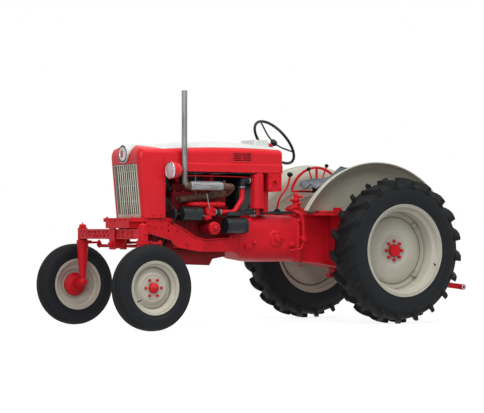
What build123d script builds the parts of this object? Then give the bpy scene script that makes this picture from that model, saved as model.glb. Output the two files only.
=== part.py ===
"""Offset row-crop farm tractor: high-clearance wide front axle, engine and hood to the left of the wheels' middle.

Millimetres. +X is forward, +Y left, +Z up. The ground is Z = 0 and the origin is at the bottom centre of the
tractor's box. Sketch planes made by side(), level() and across() count X from the datum, which is the rear axle for the rear
half and station 0 for the front half.
"""

from build123d import *
from math import cos, hypot, pi, radians, sin, sqrt, tau
import os

# Driving dimensions
wheelbase = 2300
rear_track = 1320
front_track = 1280
body_offset = 200  # the engine and gearbox stand this far left of the wheels' middle
drive_line = 0  # left-right place of the seat, the steering wheel and the hitch
rear_tyre_r = 602
rear_tyre_w = 284
rear_rim_r = 381
rear_seat_r = 356
front_tyre_r = 330
front_tyre_w = 145
front_rim_r = 208
front_seat_r = 190
kingpin_y = 500
running = 0.25  # gap all round a shaft or pin in its bore
swing_gap = 6  # gap between a turning part and what it passes

# Hitch: two lower links lifted by two arms, as an exact parallelogram
link_pivot = (-60, 400)  # ahead of the rear axle, height
link_end = (-950, 279)
link_pivot_y = 210
link_end_y = 340
link_eye_r = 24
link_eye_w = 36
link_ball_bore_r = 11.2
arm_pivot = (-120, 900)
arm_length = 300
link_pin_r = 11
rod_r = 12

# The box runs from the lower links' ends to the front tyres, and the origin stands at its middle
rear_reach = -link_end[0] + link_eye_r
axle_x = (rear_reach - wheelbase - front_tyre_r) / 2
datum = axle_x  # what X is counted from in the sections below

os.makedirs("parts", exist_ok=True)


def side(y):
    """Upright plane along the tractor: forward from the rear axle, height."""
    return Plane(origin=(datum, y, 0), x_dir=(1, 0, 0), z_dir=(0, -1, 0))


def level(z):
    """Plan at a height: forward from the rear axle, left."""
    return Plane(origin=(datum, 0, z), x_dir=(1, 0, 0), z_dir=(0, 0, 1))


def across(x, y=0, z=0):
    """Upright plane across the tractor: left, height."""
    return Plane(origin=(datum + x, y, z), x_dir=(0, 1, 0), z_dir=(1, 0, 0))


def lateral(x, z):
    """Axis across the tractor, for what turns like a wheel."""
    return Axis((datum + x, 0, z), (0, 1, 0))


def save(part, name):
    part.label = name
    export_step(part, f"parts/{name}.step")


def rod(start, end, radius):
    """Straight round bar between two points, joined to the part being built."""
    first, last = Vector(datum + start[0], *start[1:]), Vector(datum + end[0], *end[1:])
    with BuildSketch(Plane(origin=first, z_dir=last - first)) as section:
        Circle(radius)
    extrude(section.sketch, amount=(last - first).length)


def disc_y(x, y0, y1, z, radius, mode=Mode.ADD):
    """Round boss or hole with its axis across the tractor, from y0 to y1."""
    outwards = (0, 1 if y1 > y0 else -1, 0)
    with BuildSketch(Plane(origin=(datum + x, y0, z), x_dir=(1, 0, 0), z_dir=outwards)) as section:
        Circle(radius)
    extrude(section.sketch, amount=abs(y1 - y0), mode=mode)


def disc_x(x0, x1, y, z, radius, mode=Mode.ADD):
    """Round boss or hole with its axis along the tractor, from x0 to x1."""
    with BuildSketch(across(min(x0, x1), y, z)) as section:
        Circle(radius)
    extrude(section.sketch, amount=abs(x1 - x0), mode=mode)


def disc_z(x, y, z0, z1, radius, mode=Mode.ADD):
    """Round boss or hole with its axis upright, from z0 to z1."""
    with BuildSketch(level(min(z0, z1))) as section:
        with Locations((x, y)):
            Circle(radius)
    extrude(section.sketch, amount=abs(z1 - z0), mode=mode)


def block(x0, x1, y0, y1, z0, z1, mode=Mode.ADD):
    """Square block between two corners."""
    with BuildSketch(level(min(z0, z1))) as section:
        with Locations(((x0 + x1) / 2, (y0 + y1) / 2)):
            Rectangle(abs(x1 - x0), abs(y1 - y0))
    extrude(section.sketch, amount=abs(z1 - z0), mode=mode)


def slab(outline, y0, y1, mode=Mode.ADD):
    """Upright plate or casting cut to a side outline, from y0 to y1."""
    with BuildSketch(side(max(y0, y1))) as section:
        with BuildLine():
            Polyline(*outline, close=True)
        make_face()
    extrude(section.sketch, amount=abs(y1 - y0), mode=mode)


# Wheels. Their profiles give a place along the axle, outwards from the middle of the rim, and a radius.
def ring(x, z, y, out, outline, mode=Mode.ADD):
    """Turned ring about the axle line at (x, z); out is 1 on the left and -1 on the right."""
    with BuildSketch(across(x, 0, z)) as section:
        with BuildLine():
            Polyline(*[(y + out * a, r) for a, r in outline], close=True)
        make_face()
    revolve(section.sketch, axis=lateral(x, z), mode=mode)


# Rear wheel: tyre on a drop-centre rim, a dished disc clamped inside the rim, and a bolted hub with its shaft
rim_wall = 6
disc_wall = 8
rear_rim_half = 127
rear_well_r = 322
rear_well_half = 62
rear_disc_r = 282
rear_disc_place = -58  # the disc's edge stands inboard of the rim's middle
rear_disc_rise = 34
rear_clamps = 4
rear_clamp = (46, 30)
rear_recess_r = 122
rear_recess = 10
rear_hub_r = 52
rear_hub_out = 26
rear_nuts = 8
rear_nut_ring_r = 78
rear_nut_r = 13
rear_nut_h = 16
rear_flange_r = 104
rear_flange_w = 22
half_shaft_r = 32
half_shaft_end = 380
tyre_wall = 18
lug_height = 36
lug_foot = 54
lug_top = 30
rear_tyre_sides = 28
front_tyre_sides = 24
rib_gap_out, rib_gap_in = 24, 17
lugs_per_row = 20
rear_middle_r = 468
front_middle_r = 262
groove_depth = 9
stud_share = 0.55  # a stud's radius over its nut's
seat_gap = 0.5  # gap round a hub's boss and studs in their disc


def skin(rows, closed):
    """Solid whose skin joins each row of points to the next: a closed ring of rows, or a bar with flat ends."""
    faces = []
    for i in range(len(rows) if closed else len(rows) - 1):
        here, there = rows[i], rows[(i + 1) % len(rows)]
        for k in range(len(here)):
            m = (k + 1) % len(here)
            # A ring's faces are flat, and a bar may twist, so its faces are split in two
            corners = [(here[k], here[m], there[m], there[k])] if closed else [
                (here[k], here[m], there[m]), (here[k], there[m], there[k])]
            faces += [Face(Wire.make_polygon(points)) for points in corners]
    if not closed:
        faces += [Face(Wire.make_polygon(rows[0])), Face(Wire.make_polygon(rows[-1]))]
    solid = Solid(Shell(faces))
    return solid if solid.volume > 0 else Solid(solid.wrapped.Reversed())


def wheel_point(x, y, r, angle, axle_z):
    return Vector(axle_x + x + r * cos(angle), y, axle_z + r * sin(angle))


def casing(x, y, axle_z, sides, seat_r, flange_r, bead, middle, half, tread):
    """Hollow tyre in flat-sided form: its sidewalls bulge from the rim's flanges, and the tread's points close it."""
    outer = [(bead, seat_r), (bead, flange_r), (half, middle)] + tread
    shoulder, crown_r = tread[-1]
    inner = [(shoulder, crown_r - tyre_wall), (half - tyre_wall, middle), (bead - tyre_wall, seat_r)]
    outline = outer + [(-a, r) for a, r in outer[::-1]] + [(-a, r) for a, r in inner[::-1]] + inner
    stretch = 1 / cos(pi / sides)  # the flat sides, not the corners, are at the stated radii
    rows = [[wheel_point(x, y + a, r * stretch, (i + 0.5) * tau / sides, axle_z) for a, r in outline]
            for i in range(sides)]
    return skin(rows, True)


def rear_tyre():
    """Left tyre with two staggered rows of lugs, whose inner ends reach the ground first going forward."""
    y, half = rear_track / 2, rear_tyre_w / 2
    crown_r = rear_tyre_r - lug_height
    body = casing(0, y, rear_tyre_r, rear_tyre_sides, rear_seat_r, rear_rim_r, rear_rim_half - rim_wall,
                  rear_middle_r, half, [(half - 10, crown_r - 60), (half - 44, crown_r - 8)])
    top_r = rear_tyre_r / cos(lug_top / 2 / rear_tyre_r)
    # A lug's sections: out along the axle, back round the tread, radius of its foot, radius of its top
    sections = ((4, 0, crown_r - 14, top_r), (half - 50, 38, crown_r - 20, top_r),
                (half - 3, 86, crown_r - 80, rear_tyre_r - 30))
    lugs = []
    for row, start in ((1, 0), (-1, pi / lugs_per_row)):
        for turn in range(lugs_per_row):
            angle = start - pi / 2 + turn * tau / lugs_per_row
            lugs.append(skin([[wheel_point(0, y + row * along, r, angle + (back + across_lug) / rear_tyre_r, rear_tyre_r)
                               for across_lug, r in ((-lug_foot / 2, foot_r), (-lug_top / 2, tip_r),
                                                     (lug_top / 2, tip_r), (lug_foot / 2, foot_r))]
                              for along, back, foot_r, tip_r in sections], False))
    return body.fuse(*lugs)


def front_tyre():
    """Left tyre with three ribs between two grooves, which hold the tractor's line across a slope."""
    half, groove_r = front_tyre_w / 2, front_tyre_r - groove_depth
    return casing(wheelbase, front_track / 2, front_tyre_r, front_tyre_sides, front_seat_r, front_rim_r,
                  front_rim_half - rim_wall, front_middle_r, half,
                  [(half - 8, front_tyre_r - 22), (half - 26, front_tyre_r - 2), (rib_gap_out, groove_r),
                   (rib_gap_in, groove_r), (rib_gap_in - 3, front_tyre_r)])


def rim_outline(half, flange_r, seat_r, well_r, well_half):
    """Rolled rim, one sheet thick: an upright flange at each side, the bead seats and the sunken middle."""
    over = [(half, flange_r), (half - rim_wall, flange_r), (half - rim_wall, seat_r)]
    over += [(well_half + 14, seat_r), (well_half, well_r)]
    under = [(well_half + rim_wall, well_r - rim_wall), (well_half + 18, seat_r - rim_wall), (half, seat_r - rim_wall)]
    return over + [(-a, r) for a, r in over[::-1]] + [(-a, r) for a, r in under[::-1]] + under


def nut_plane(x, y, z, out):
    """Plane facing outwards on a wheel."""
    return Plane(origin=(datum + x, y, z), x_dir=(1, 0, 0), z_dir=(0, out, 0))


def rear_wheel(out):
    y = out * rear_track / 2
    edge, crown = rear_disc_place, rear_disc_place + rear_disc_rise
    dish = [(edge, rear_disc_r), (crown, rear_recess_r + 12), (crown - rear_recess, rear_recess_r)]
    dish += [(crown - rear_recess, rear_hub_r + seat_gap)]
    lip = [(edge - disc_wall, rear_disc_r - 2), (edge - disc_wall, rear_disc_r + disc_wall)]
    lip += [(edge + 14, rear_disc_r + disc_wall), (edge + 14, rear_disc_r - 2)]
    with BuildPart() as wheel:
        ring(0, rear_tyre_r, y, out, rim_outline(rear_rim_half, rear_rim_r, rear_seat_r, rear_well_r, rear_well_half))
        ring(0, rear_tyre_r, y, out, dish + [(a - disc_wall, r) for a, r in dish[::-1]])
        ring(0, rear_tyre_r, y, out, lip)
        for turn in range(rear_clamps):
            angle = radians(45 + turn * 360 / rear_clamps)
            outwards = Vector(cos(angle), 0, sin(angle))
            foot = Vector(datum, y + out * edge, rear_tyre_r) + outwards * rear_disc_r
            with BuildSketch(Plane(origin=foot, x_dir=(0, 1, 0), z_dir=outwards)):
                Rectangle(*rear_clamp)
            extrude(amount=rear_well_r - rim_wall / 2 - rear_disc_r)
        with BuildSketch(nut_plane(0, y + out * crown, rear_tyre_r, -out)):
            with PolarLocations(rear_nut_ring_r, rear_nuts):
                Circle(rear_nut_r * stud_share + seat_gap)
        extrude(amount=2 * (disc_wall + rear_recess), mode=Mode.SUBTRACT)
    return wheel.part


def rear_hub(out):
    y = out * rear_track / 2
    face = rear_disc_place + rear_disc_rise - rear_recess
    back = face - disc_wall
    with BuildPart() as hub:
        disc_y(0, y + out * back, y + out * (back - rear_flange_w), rear_tyre_r, rear_flange_r)
        disc_y(0, y + out * back, y + out * (face + rear_hub_out), rear_tyre_r, rear_hub_r)
        disc_y(0, y + out * back, out * half_shaft_end, rear_tyre_r, half_shaft_r)
        for radius, start, reach in ((rear_nut_r * stud_share, back, disc_wall), (rear_nut_r, face, rear_nut_h)):
            with BuildSketch(nut_plane(0, y + out * start, rear_tyre_r, out)):
                with PolarLocations(rear_nut_ring_r, rear_nuts):
                    RegularPolygon(radius, 6)
            extrude(amount=reach)
    return hub.part


# Front wheel: a small ribbed tyre, a dished disc and a hub with a pointed cap that turns on the knuckle's spindle
front_rim_half = 62
front_well_r = 168
front_well_half = 24
front_disc_r = 160
front_disc_place = 2
front_disc_rise = 22
front_centre_r = 96
front_hub_r = 34
front_cap_r = 42
front_cap_out = 46
front_nuts = 6
front_nut_ring_r = 68
front_nut_r = 11
front_nut_h = 13
front_flange_r = 92
front_flange_w = 18
front_barrel_r = 46
front_barrel_in = 52
spindle_r = 20


def front_wheel(out):
    y = out * front_track / 2
    edge, crown = front_disc_place, front_disc_place + front_disc_rise
    dish = [(edge - 6, front_well_r - rim_wall), (edge + 4, front_disc_r - 14), (crown, front_centre_r)]
    dish += [(crown, front_hub_r + seat_gap)]
    with BuildPart() as wheel:
        ring(wheelbase, front_tyre_r, y, out,
             rim_outline(front_rim_half, front_rim_r, front_seat_r, front_well_r, front_well_half))
        ring(wheelbase, front_tyre_r, y, out, dish + [(a - disc_wall, r) for a, r in dish[::-1]])
        with BuildSketch(nut_plane(wheelbase, y + out * (crown + 1), front_tyre_r, -out)):
            with PolarLocations(front_nut_ring_r, front_nuts):
                Circle(front_nut_r * stud_share + seat_gap)
        extrude(amount=disc_wall + 2, mode=Mode.SUBTRACT)
    return wheel.part


def front_hub(out):
    y = out * front_track / 2
    face = front_disc_place + front_disc_rise
    back = face - disc_wall
    barrel = [(back, front_barrel_r), (back - front_barrel_in, front_barrel_r - 6)]
    cap = [(face + 4, front_hub_r), (face + 4, front_cap_r), (face + 18, front_cap_r - 4)]
    cap += [(face + front_cap_out - 8, 12), (face + front_cap_out, 0)]
    with BuildPart() as hub:
        ring(wheelbase, front_tyre_r, y, out, [(back - front_barrel_in, 0)] + barrel[::-1]
             + [(back, front_hub_r)] + cap)
        disc_y(wheelbase, y + out * back, y + out * (back - front_flange_w), front_tyre_r, front_flange_r)
        for radius, start, reach in ((front_nut_r * stud_share, back, disc_wall), (front_nut_r, face, front_nut_h)):
            with BuildSketch(nut_plane(wheelbase, y + out * start, front_tyre_r, out)):
                with PolarLocations(front_nut_ring_r, front_nuts):
                    RegularPolygon(radius, 6)
            extrude(amount=reach)
        disc_y(wheelbase, y + out * (back - front_barrel_in - 1), y + out * (face + running), front_tyre_r,
               spindle_r + running, mode=Mode.SUBTRACT)
    return hub.part


for piece, name in ((rear_tyre(), "rear_tyre"), (front_tyre(), "front_tyre")):
    save(piece, f"{name}_left")
    save(mirror(piece, about=Plane.XZ), f"{name}_right")

for out, hand in ((1, "left"), (-1, "right")):
    save(rear_wheel(out), f"rear_wheel_{hand}")
    save(rear_hub(out), f"rear_hub_{hand}")
    save(front_wheel(out), f"front_wheel_{hand}")
    save(front_hub(out), f"front_hub_{hand}")

# The front half, from the gearbox forward, is drawn by station, so a longer wheelbase lengthens the gearbox only
front_station = 2300  # the front axle
datum = axle_x + wheelbase - front_station

# Front axle: a perforated channel on a centre pivot, kingpin bosses at its ends, and long legs down to the spindles
beam_top = 779
beam_bottom = 704
beam_depth = 80
beam_wall = 12
boss_r = 40
boss_top = 790
boss_bottom = 690
kingpin_r = 20
kingpin_cap_r = 30
kingpin_cap_h = 16
leg_top_r = 50
leg_bottom_r = 27
leg_bottom = 392
elbow_r = 38
elbow_z = 348
steer_arm = 150
steer_arm_z = 672
steer_arm_section = (36, 22)
tie_rod_z = 644
tie_rod_r = 13
stud_r = 9
stud_eye_r = 19
stud_eye_h = 22
web_hole_r = 9
web_hole_pitch = 62
web_hole_rows = (0.32, 0.68)  # shares of the beam's height
beam_plain_left = 210  # left of this the beam is a plain casting
pivot_y = 100
pivot_z = 660
pivot_boss_r = 34
pivot_pin_r = 20
ear_wall = 16
ear_half = 42


def knuckle(out):
    """Kingpin, tapered leg, elbow, spindle and steering arm, in one forging."""
    y = out * kingpin_y
    wheel_y = out * front_track / 2
    face = front_disc_place + front_disc_rise
    join_z = elbow_z + sqrt(elbow_r ** 2 - leg_bottom_r ** 2)
    seat_z, cap_z = boss_bottom - running, boss_top + running
    with BuildPart() as piece:
        with BuildSketch(across(front_station, y)) as leg:
            with BuildLine():
                ThreePointArc((0, elbow_z - elbow_r), (elbow_r, elbow_z), (leg_bottom_r, join_z))
                Polyline((leg_bottom_r, join_z), (leg_bottom_r, leg_bottom), (leg_top_r, seat_z),
                         (kingpin_r, seat_z), (kingpin_r, cap_z), (kingpin_cap_r, cap_z),
                         (kingpin_cap_r, cap_z + kingpin_cap_h), (0, cap_z + kingpin_cap_h), (0, elbow_z - elbow_r))
            make_face()
        revolve(leg.sketch, axis=Axis((datum + front_station, y, 0), (0, 0, 1)))
        disc_y(front_station, y, wheel_y + out * face, front_tyre_r, spindle_r)
        block(front_station - steer_arm, front_station, y - steer_arm_section[0] / 2, y + steer_arm_section[0] / 2,
              steer_arm_z - steer_arm_section[1] / 2, steer_arm_z + steer_arm_section[1] / 2 - 4)
        disc_z(front_station - steer_arm, y, steer_arm_z - steer_arm_section[1] / 2, steer_arm_z + 7, stud_eye_r)
        disc_z(front_station - steer_arm, y, tie_rod_z - stud_eye_h / 2 - 6, steer_arm_z, stud_r)
    return piece.part


for out, hand in ((1, "left"), (-1, "right")):
    save(knuckle(out), f"knuckle_{hand}")

with BuildPart() as front_axle_beam:
    front_x, back_x = front_station + beam_depth / 2, front_station - beam_depth / 2
    block(back_x, front_x, -kingpin_y, kingpin_y, beam_bottom, beam_top)
    block(back_x - 1, front_x - beam_wall, -kingpin_y + boss_r + 4, beam_plain_left, beam_bottom + beam_wall,
          beam_top - beam_wall, mode=Mode.SUBTRACT)
    with BuildSketch(across(front_x + 1)) as holes:
        for row, share in enumerate(web_hole_rows):
            for step in range(int((kingpin_y + beam_plain_left - 2 * boss_r) / web_hole_pitch)):
                hole_y = -kingpin_y + 2 * boss_r + (step + row / 2) * web_hole_pitch
                with Locations((hole_y, beam_bottom + share * (beam_top - beam_bottom))):
                    Circle(web_hole_r)
    extrude(holes.sketch, amount=-beam_wall - 2, mode=Mode.SUBTRACT)
    for out in (1, -1):
        disc_z(front_station, out * kingpin_y, boss_bottom, boss_top, boss_r)
        disc_z(front_station, out * kingpin_y, boss_bottom - 1, boss_top + 1, kingpin_r + running, mode=Mode.SUBTRACT)
    disc_x(back_x, front_x, pivot_y, pivot_z, pivot_boss_r)
    block(back_x, front_x, pivot_y - pivot_boss_r, pivot_y + pivot_boss_r, pivot_z, beam_bottom + 1)
    disc_x(back_x - 1, front_x + 1, pivot_y, pivot_z, pivot_pin_r, mode=Mode.SUBTRACT)
save(front_axle_beam.part, "front_axle_beam")

# Steering: the gear in the front frame swings an arm that carries the tie rod, parallel to the knuckles' arms
steer_shaft_x = 2190
steer_shaft_y = 60
steer_shaft_r = 18
steer_boss_bottom = 705
lug_half = 16
lug_h = 16

with BuildPart() as steering_arm:
    arm_x = steer_shaft_x - steer_arm
    disc_z(steer_shaft_x, steer_shaft_y, steer_arm_z - 11, steer_arm_z + 11, steer_shaft_r + 12)
    disc_z(steer_shaft_x, steer_shaft_y, steer_arm_z, steer_boss_bottom + 60, steer_shaft_r)
    block(arm_x, steer_shaft_x, steer_shaft_y - 15, steer_shaft_y + 15, steer_arm_z - 9, steer_arm_z + 9)
    disc_z(arm_x, steer_shaft_y, steer_arm_z - 11, steer_arm_z + 11, stud_eye_r)
    disc_z(arm_x, steer_shaft_y, tie_rod_z - stud_eye_h / 2 - 6, steer_arm_z, stud_r)
save(steering_arm.part, "steering_arm")

with BuildPart() as tie_rod:
    tie_x = front_station - steer_arm
    disc_y(tie_x, -kingpin_y, kingpin_y, tie_rod_z, tie_rod_r)
    block(arm_x, tie_x, steer_shaft_y - lug_half, steer_shaft_y + lug_half, tie_rod_z - lug_h / 2,
          tie_rod_z + lug_h / 2)
    for eye_x, eye_y in ((tie_x, kingpin_y), (tie_x, -kingpin_y), (arm_x, steer_shaft_y)):
        disc_z(eye_x, eye_y, tie_rod_z - stud_eye_h / 2 + 8, tie_rod_z + stud_eye_h / 2, stud_eye_r)
    for eye_x, eye_y in ((tie_x, kingpin_y), (tie_x, -kingpin_y), (arm_x, steer_shaft_y)):
        disc_z(eye_x, eye_y, tie_rod_z - 40, tie_rod_z + 40, stud_r + running, mode=Mode.SUBTRACT)
save(tie_rod.part, "tie_rod")

# Front frame: the plate under the radiator, the side rails back to the bell housing, the ears of the axle's pivot
# and the steering gear's boss and shaft
body_left, body_right = 1, -1
case_half = 210
rail_wall = 16
frame_plate_top = 865
frame_plate_h = 30
frame_plate_half = 226
frame_front_x = 2362
rail_outline = [(2229, 748), (2229, 865), (2070, 865), (2030, 834), (1900, 770), (1868, 752), (1790, 704),
                (1698, 685), (1481, 697), (1405, 748), (1385, 700), (1400, 620), (1443, 597), (1744, 599),
                (1966, 637), (2000, 690), (2180, 740)]
rail_hole_r = 8
rail_holes = [(2030, 808), (2030, 765), (1950, 765)]
steer_rod_y = 20
steer_rod_z = 800
steer_rod_r = 12
bell_x = 1430

with BuildPart() as front_frame:
    plate_bottom = frame_plate_top - frame_plate_h
    block(1990, frame_front_x, body_offset - frame_plate_half, body_offset + frame_plate_half, plate_bottom,
          frame_plate_top)
    block(2225, frame_front_x, body_offset - 190, body_offset + 190, beam_top + 6, plate_bottom)
    block(2205, 2229, body_offset - case_half, body_offset + case_half, 748, plate_bottom)
    for hand in (body_left, body_right):
        inner = body_offset + hand * case_half
        slab(rail_outline, inner, inner + hand * rail_wall)
        for hole_x, hole_z in rail_holes:
            disc_y(hole_x, inner - hand, inner + hand * (rail_wall + 1), hole_z, rail_hole_r, mode=Mode.SUBTRACT)
    for ear_x in (back_x - running - ear_wall, front_x + running):
        block(ear_x, ear_x + ear_wall, pivot_y - ear_half, pivot_y + ear_half, pivot_z - ear_half, plate_bottom)
    disc_x(back_x - ear_wall, front_x + ear_wall, pivot_y, pivot_z, pivot_pin_r - running)
    disc_z(steer_shaft_x, steer_shaft_y, steer_boss_bottom, plate_bottom, steer_shaft_r + 20)
    disc_x(bell_x, steer_shaft_x, steer_rod_y, steer_rod_z, steer_rod_r)
    disc_z(steer_shaft_x, steer_shaft_y, steer_boss_bottom - 1, steer_boss_bottom + 62, steer_shaft_r + running,
           mode=Mode.SUBTRACT)
save(front_frame.part, "front_frame")

# Engine
engine_front = 1950
engine_half = 130
engine_bottom = 600
deck_z = 960
head_top = 1070
rocker_top = 1150
fan_z = 1060
fan_shaft_r = 12

filter_x, filter_z, filter_r = 1657, 785, 46
filter_y = body_offset + engine_half
crank_z, crank_r, crank_pulley_r = 700, 26, 72
head_back, head_front = 1450, 1940
rocker_inset = 25
rocker_half = 84
fan_boss = (36, 44)  # radius, length
sump_half = 112
sump_outline = [(1445, 600), (1930, 600), (1930, 575), (1845, 500), (1590, 490), (1560, 540), (1445, 560)]

with BuildPart() as engine_block:
    block(bell_x, engine_front, body_offset - engine_half, body_offset + engine_half, engine_bottom, deck_z)
    disc_x(engine_front, engine_front + 60, body_offset, crank_z, crank_r)
    disc_x(engine_front + 40, engine_front + 56, body_offset, crank_z, crank_pulley_r)
    disc_y(filter_x, filter_y, filter_y + 175, filter_z, filter_r)
    disc_y(filter_x, filter_y + 40, filter_y + 164, filter_z, filter_r + 4)
save(engine_block.part, "engine_block")

with BuildPart() as cylinder_head:
    block(head_back, head_front, body_offset - engine_half, body_offset + engine_half, deck_z, head_top)
    block(head_back + rocker_inset, head_front - rocker_inset, body_offset - rocker_half, body_offset + rocker_half,
          head_top, rocker_top)
    fillet(cylinder_head.edges().group_by(Axis.Z)[-1], 22)
    disc_x(head_front, head_front + fan_boss[1], body_offset, fan_z, fan_boss[0])
    disc_x(head_front + 4, head_front + fan_boss[1] + 1, body_offset, fan_z, fan_shaft_r + running,
           mode=Mode.SUBTRACT)
save(cylinder_head.part, "cylinder_head")

with BuildPart() as oil_pan:
    slab(sump_outline, body_offset - sump_half, body_offset + sump_half)
save(oil_pan.part, "oil_pan")


def pipe(points, radius, bend):
    """Bent tube or hose through a list of points, with one bend radius or one for each corner."""
    with BuildLine() as path:
        FilletPolyline(*[(datum + x, y, z) for x, y, z in points], radius=bend)
    with BuildSketch(path.line ^ 0) as section:
        Circle(radius)
    sweep(section.sketch, path=path.line)


muffler_y = 470
muffler_z = 1115
muffler_r = 37.5
muffler_back, muffler_front = 1570, 1865
exhaust_r = 22
stack_x, stack_top = 1912, 1860
manifold_y = 385
ports_x = (1520, 1635, 1750, 1865)
port_r, manifold_r = 22, 26
manifold_back, manifold_front = (1500, 1058), (1905, 1010)  # the exhaust log falls towards the front
intake_z = 972
intake_y = 440
intake_r = 19
carburettor_x = 1672

with BuildPart() as exhaust_manifold:
    fall = (manifold_back[1] - manifold_front[1]) / (manifold_front[0] - manifold_back[0])
    rod((manifold_front[0], manifold_y, manifold_front[1]), (manifold_back[0], manifold_y, manifold_back[1]),
        manifold_r)
    for port_x in ports_x:
        disc_y(port_x, filter_y, manifold_y, manifold_back[1] - (port_x - manifold_back[0]) * fall, port_r)
    pipe([(manifold_back[0] + 5, manifold_y, manifold_back[1]), (1465, manifold_y, 1062),
          (1468, muffler_y, muffler_z), (muffler_back, muffler_y, muffler_z)], exhaust_r + 2, 30)
save(exhaust_manifold.part, "exhaust_manifold")

with BuildPart() as muffler:
    disc_x(muffler_back, muffler_front, muffler_y, muffler_z, muffler_r)
    fillet(muffler.edges(), 8)
save(muffler.part, "muffler")

with BuildPart() as exhaust_pipe:
    pipe([(muffler_front, muffler_y, muffler_z), (stack_x, muffler_y, muffler_z), (stack_x, muffler_y, stack_top)],
         exhaust_r, 40)
save(exhaust_pipe.part, "exhaust_pipe")

with BuildPart() as intake_manifold:
    pipe([(ports_x[0], filter_y, intake_z), (ports_x[0], intake_y, intake_z), (1820, intake_y, intake_z),
          (1820, filter_y, intake_z)], intake_r, 40)
    disc_z(carburettor_x, intake_y, 940, intake_z, 22)
    block(carburettor_x - 42, carburettor_x + 42, intake_y - 34, intake_y + 34, 884, 945)
    disc_z(carburettor_x + 18, intake_y, 860, 884, 24)
save(intake_manifold.part, "intake_manifold")

cleaner_x, cleaner_y = 1195, 400
cleaner_r = 53
case_top = 895

cleaner_neck, cleaner_cup, cleaner_top = 944, 1010, 1222
air_pipe_r = 20
air_pipe_top = 1168
generator_y, generator_z, generator_r = 450, 897, 55
belt_x = (1990, 2008)  # the fan belt's pulleys
starter_y, starter_z, starter_r = 480, 805, 62
starter_back, starter_front = 1363, 1544
radiator_back, radiator_front, radiator_half, radiator_top = 2090, 2150, 180, 1370

with BuildPart() as air_cleaner:
    # Height from, height to, radius
    for low, high, radius in ((cleaner_cup - 3, cleaner_top, cleaner_r), (cleaner_neck, cleaner_cup, cleaner_r + 4),
                              (case_top, cleaner_neck, 20)):
        disc_z(cleaner_x, cleaner_y, low, high, radius)
save(air_cleaner.part, "air_cleaner")

with BuildPart() as air_pipe:
    pipe([(cleaner_x + cleaner_r - 1, cleaner_y, air_pipe_top), (1340, 404, air_pipe_top), (1345, 412, 1020),
          (1440, intake_y, 912), (carburettor_x - 42, intake_y, 912)], air_pipe_r, [34, 60, 60])
    disc_z(cleaner_x, cleaner_y, cleaner_cup - 10, cleaner_top + 8, cleaner_r + running, mode=Mode.SUBTRACT)
save(air_pipe.part, "air_pipe")

with BuildPart() as generator:
    # From, to, radius: the case, its shaft and its pulley
    for start, end, radius in ((1760, 1930, generator_r), (1930, belt_x[1], 10), (*belt_x, 38)):
        disc_x(start, end, generator_y, generator_z, radius)
    block(1780, 1910, filter_y, generator_y - 30, generator_z - 47, generator_z - 17)
save(generator.part, "generator")

with BuildPart() as starter_motor:
    disc_x(starter_back, starter_front, starter_y, starter_z, starter_r)
    fillet(starter_motor.edges(), 6)
save(starter_motor.part, "starter_motor")

with BuildPart() as radiator:
    block(radiator_back, radiator_front, body_offset - radiator_half, body_offset + radiator_half, frame_plate_top,
          radiator_top)
save(radiator.part, "radiator")

fan_blades = 4
fan_r = 185
fan_blade_w, fan_blade_h = 62, 5
tank_back, tank_front, tank_half, tank_bottom, tank_top = 1200, 1900, 190, 1238, 1390

with BuildPart() as fan:
    # From, to, radius: the shaft, the belt's pulley and the hub
    for start, end, radius in ((head_front + 10, 2046, fan_shaft_r), (*belt_x, 60), (belt_x[1], 2040, 34)):
        disc_x(start, end, body_offset, fan_z, radius)
    with BuildSketch(across(belt_x[1] + 14, body_offset, fan_z)) as blades:
        with PolarLocations(fan_r / 2 + 10, fan_blades, start_angle=20):
            Rectangle(fan_r - 20, fan_blade_w)
    extrude(blades.sketch, amount=fan_blade_h)
save(fan.part, "fan")

with BuildPart() as fuel_tank:
    block(tank_back, tank_front, body_offset - tank_half, body_offset + tank_half, tank_bottom, tank_top)
    fillet(fuel_tank.edges().filter_by(Axis.X), 30)
    for strap_x in (1520, 1840):
        block(strap_x, strap_x + 30, body_offset - 60, body_offset + 60, rocker_top, tank_bottom + 2)
save(fuel_tank.part, "fuel_tank")

# Transmission and rear axle
case_end = 772  # ahead of the rear axle
case_back = case_end + front_station - wheelbase  # the same place as a station
case_bottom = 512
case_rim = 4
cover_x, cover_z, cover_r, cover_boss_r = 1149, 703, 75, 30
case_bevel = 70
rear_case_half = 150
rear_case_back = -160
rear_case_top = 800
lift_top = 940
lift_half = 105
lift_back, lift_front = -180, 385
lift_shaft_r = 24
top_link_x, top_link_z, top_link_half = -228, 825, 37
top_link_ear, top_link_ear_top, top_link_pin_r = 13, 850, 9.65
drawbar_y, drawbar_half, drawbar_h, drawbar_top = 100, 32, 25, 406
drawbar_end, drawbar_hole_r = -620, 11
housing_r = 62
housing_end = 512
fender_panel_y = 365
bracket_wall = 15
fender_low = 930
pto_z = 560
pto_r = 17.46
pto_length = 77
pto_neck_r = 15
pto_boss = 14

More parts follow.
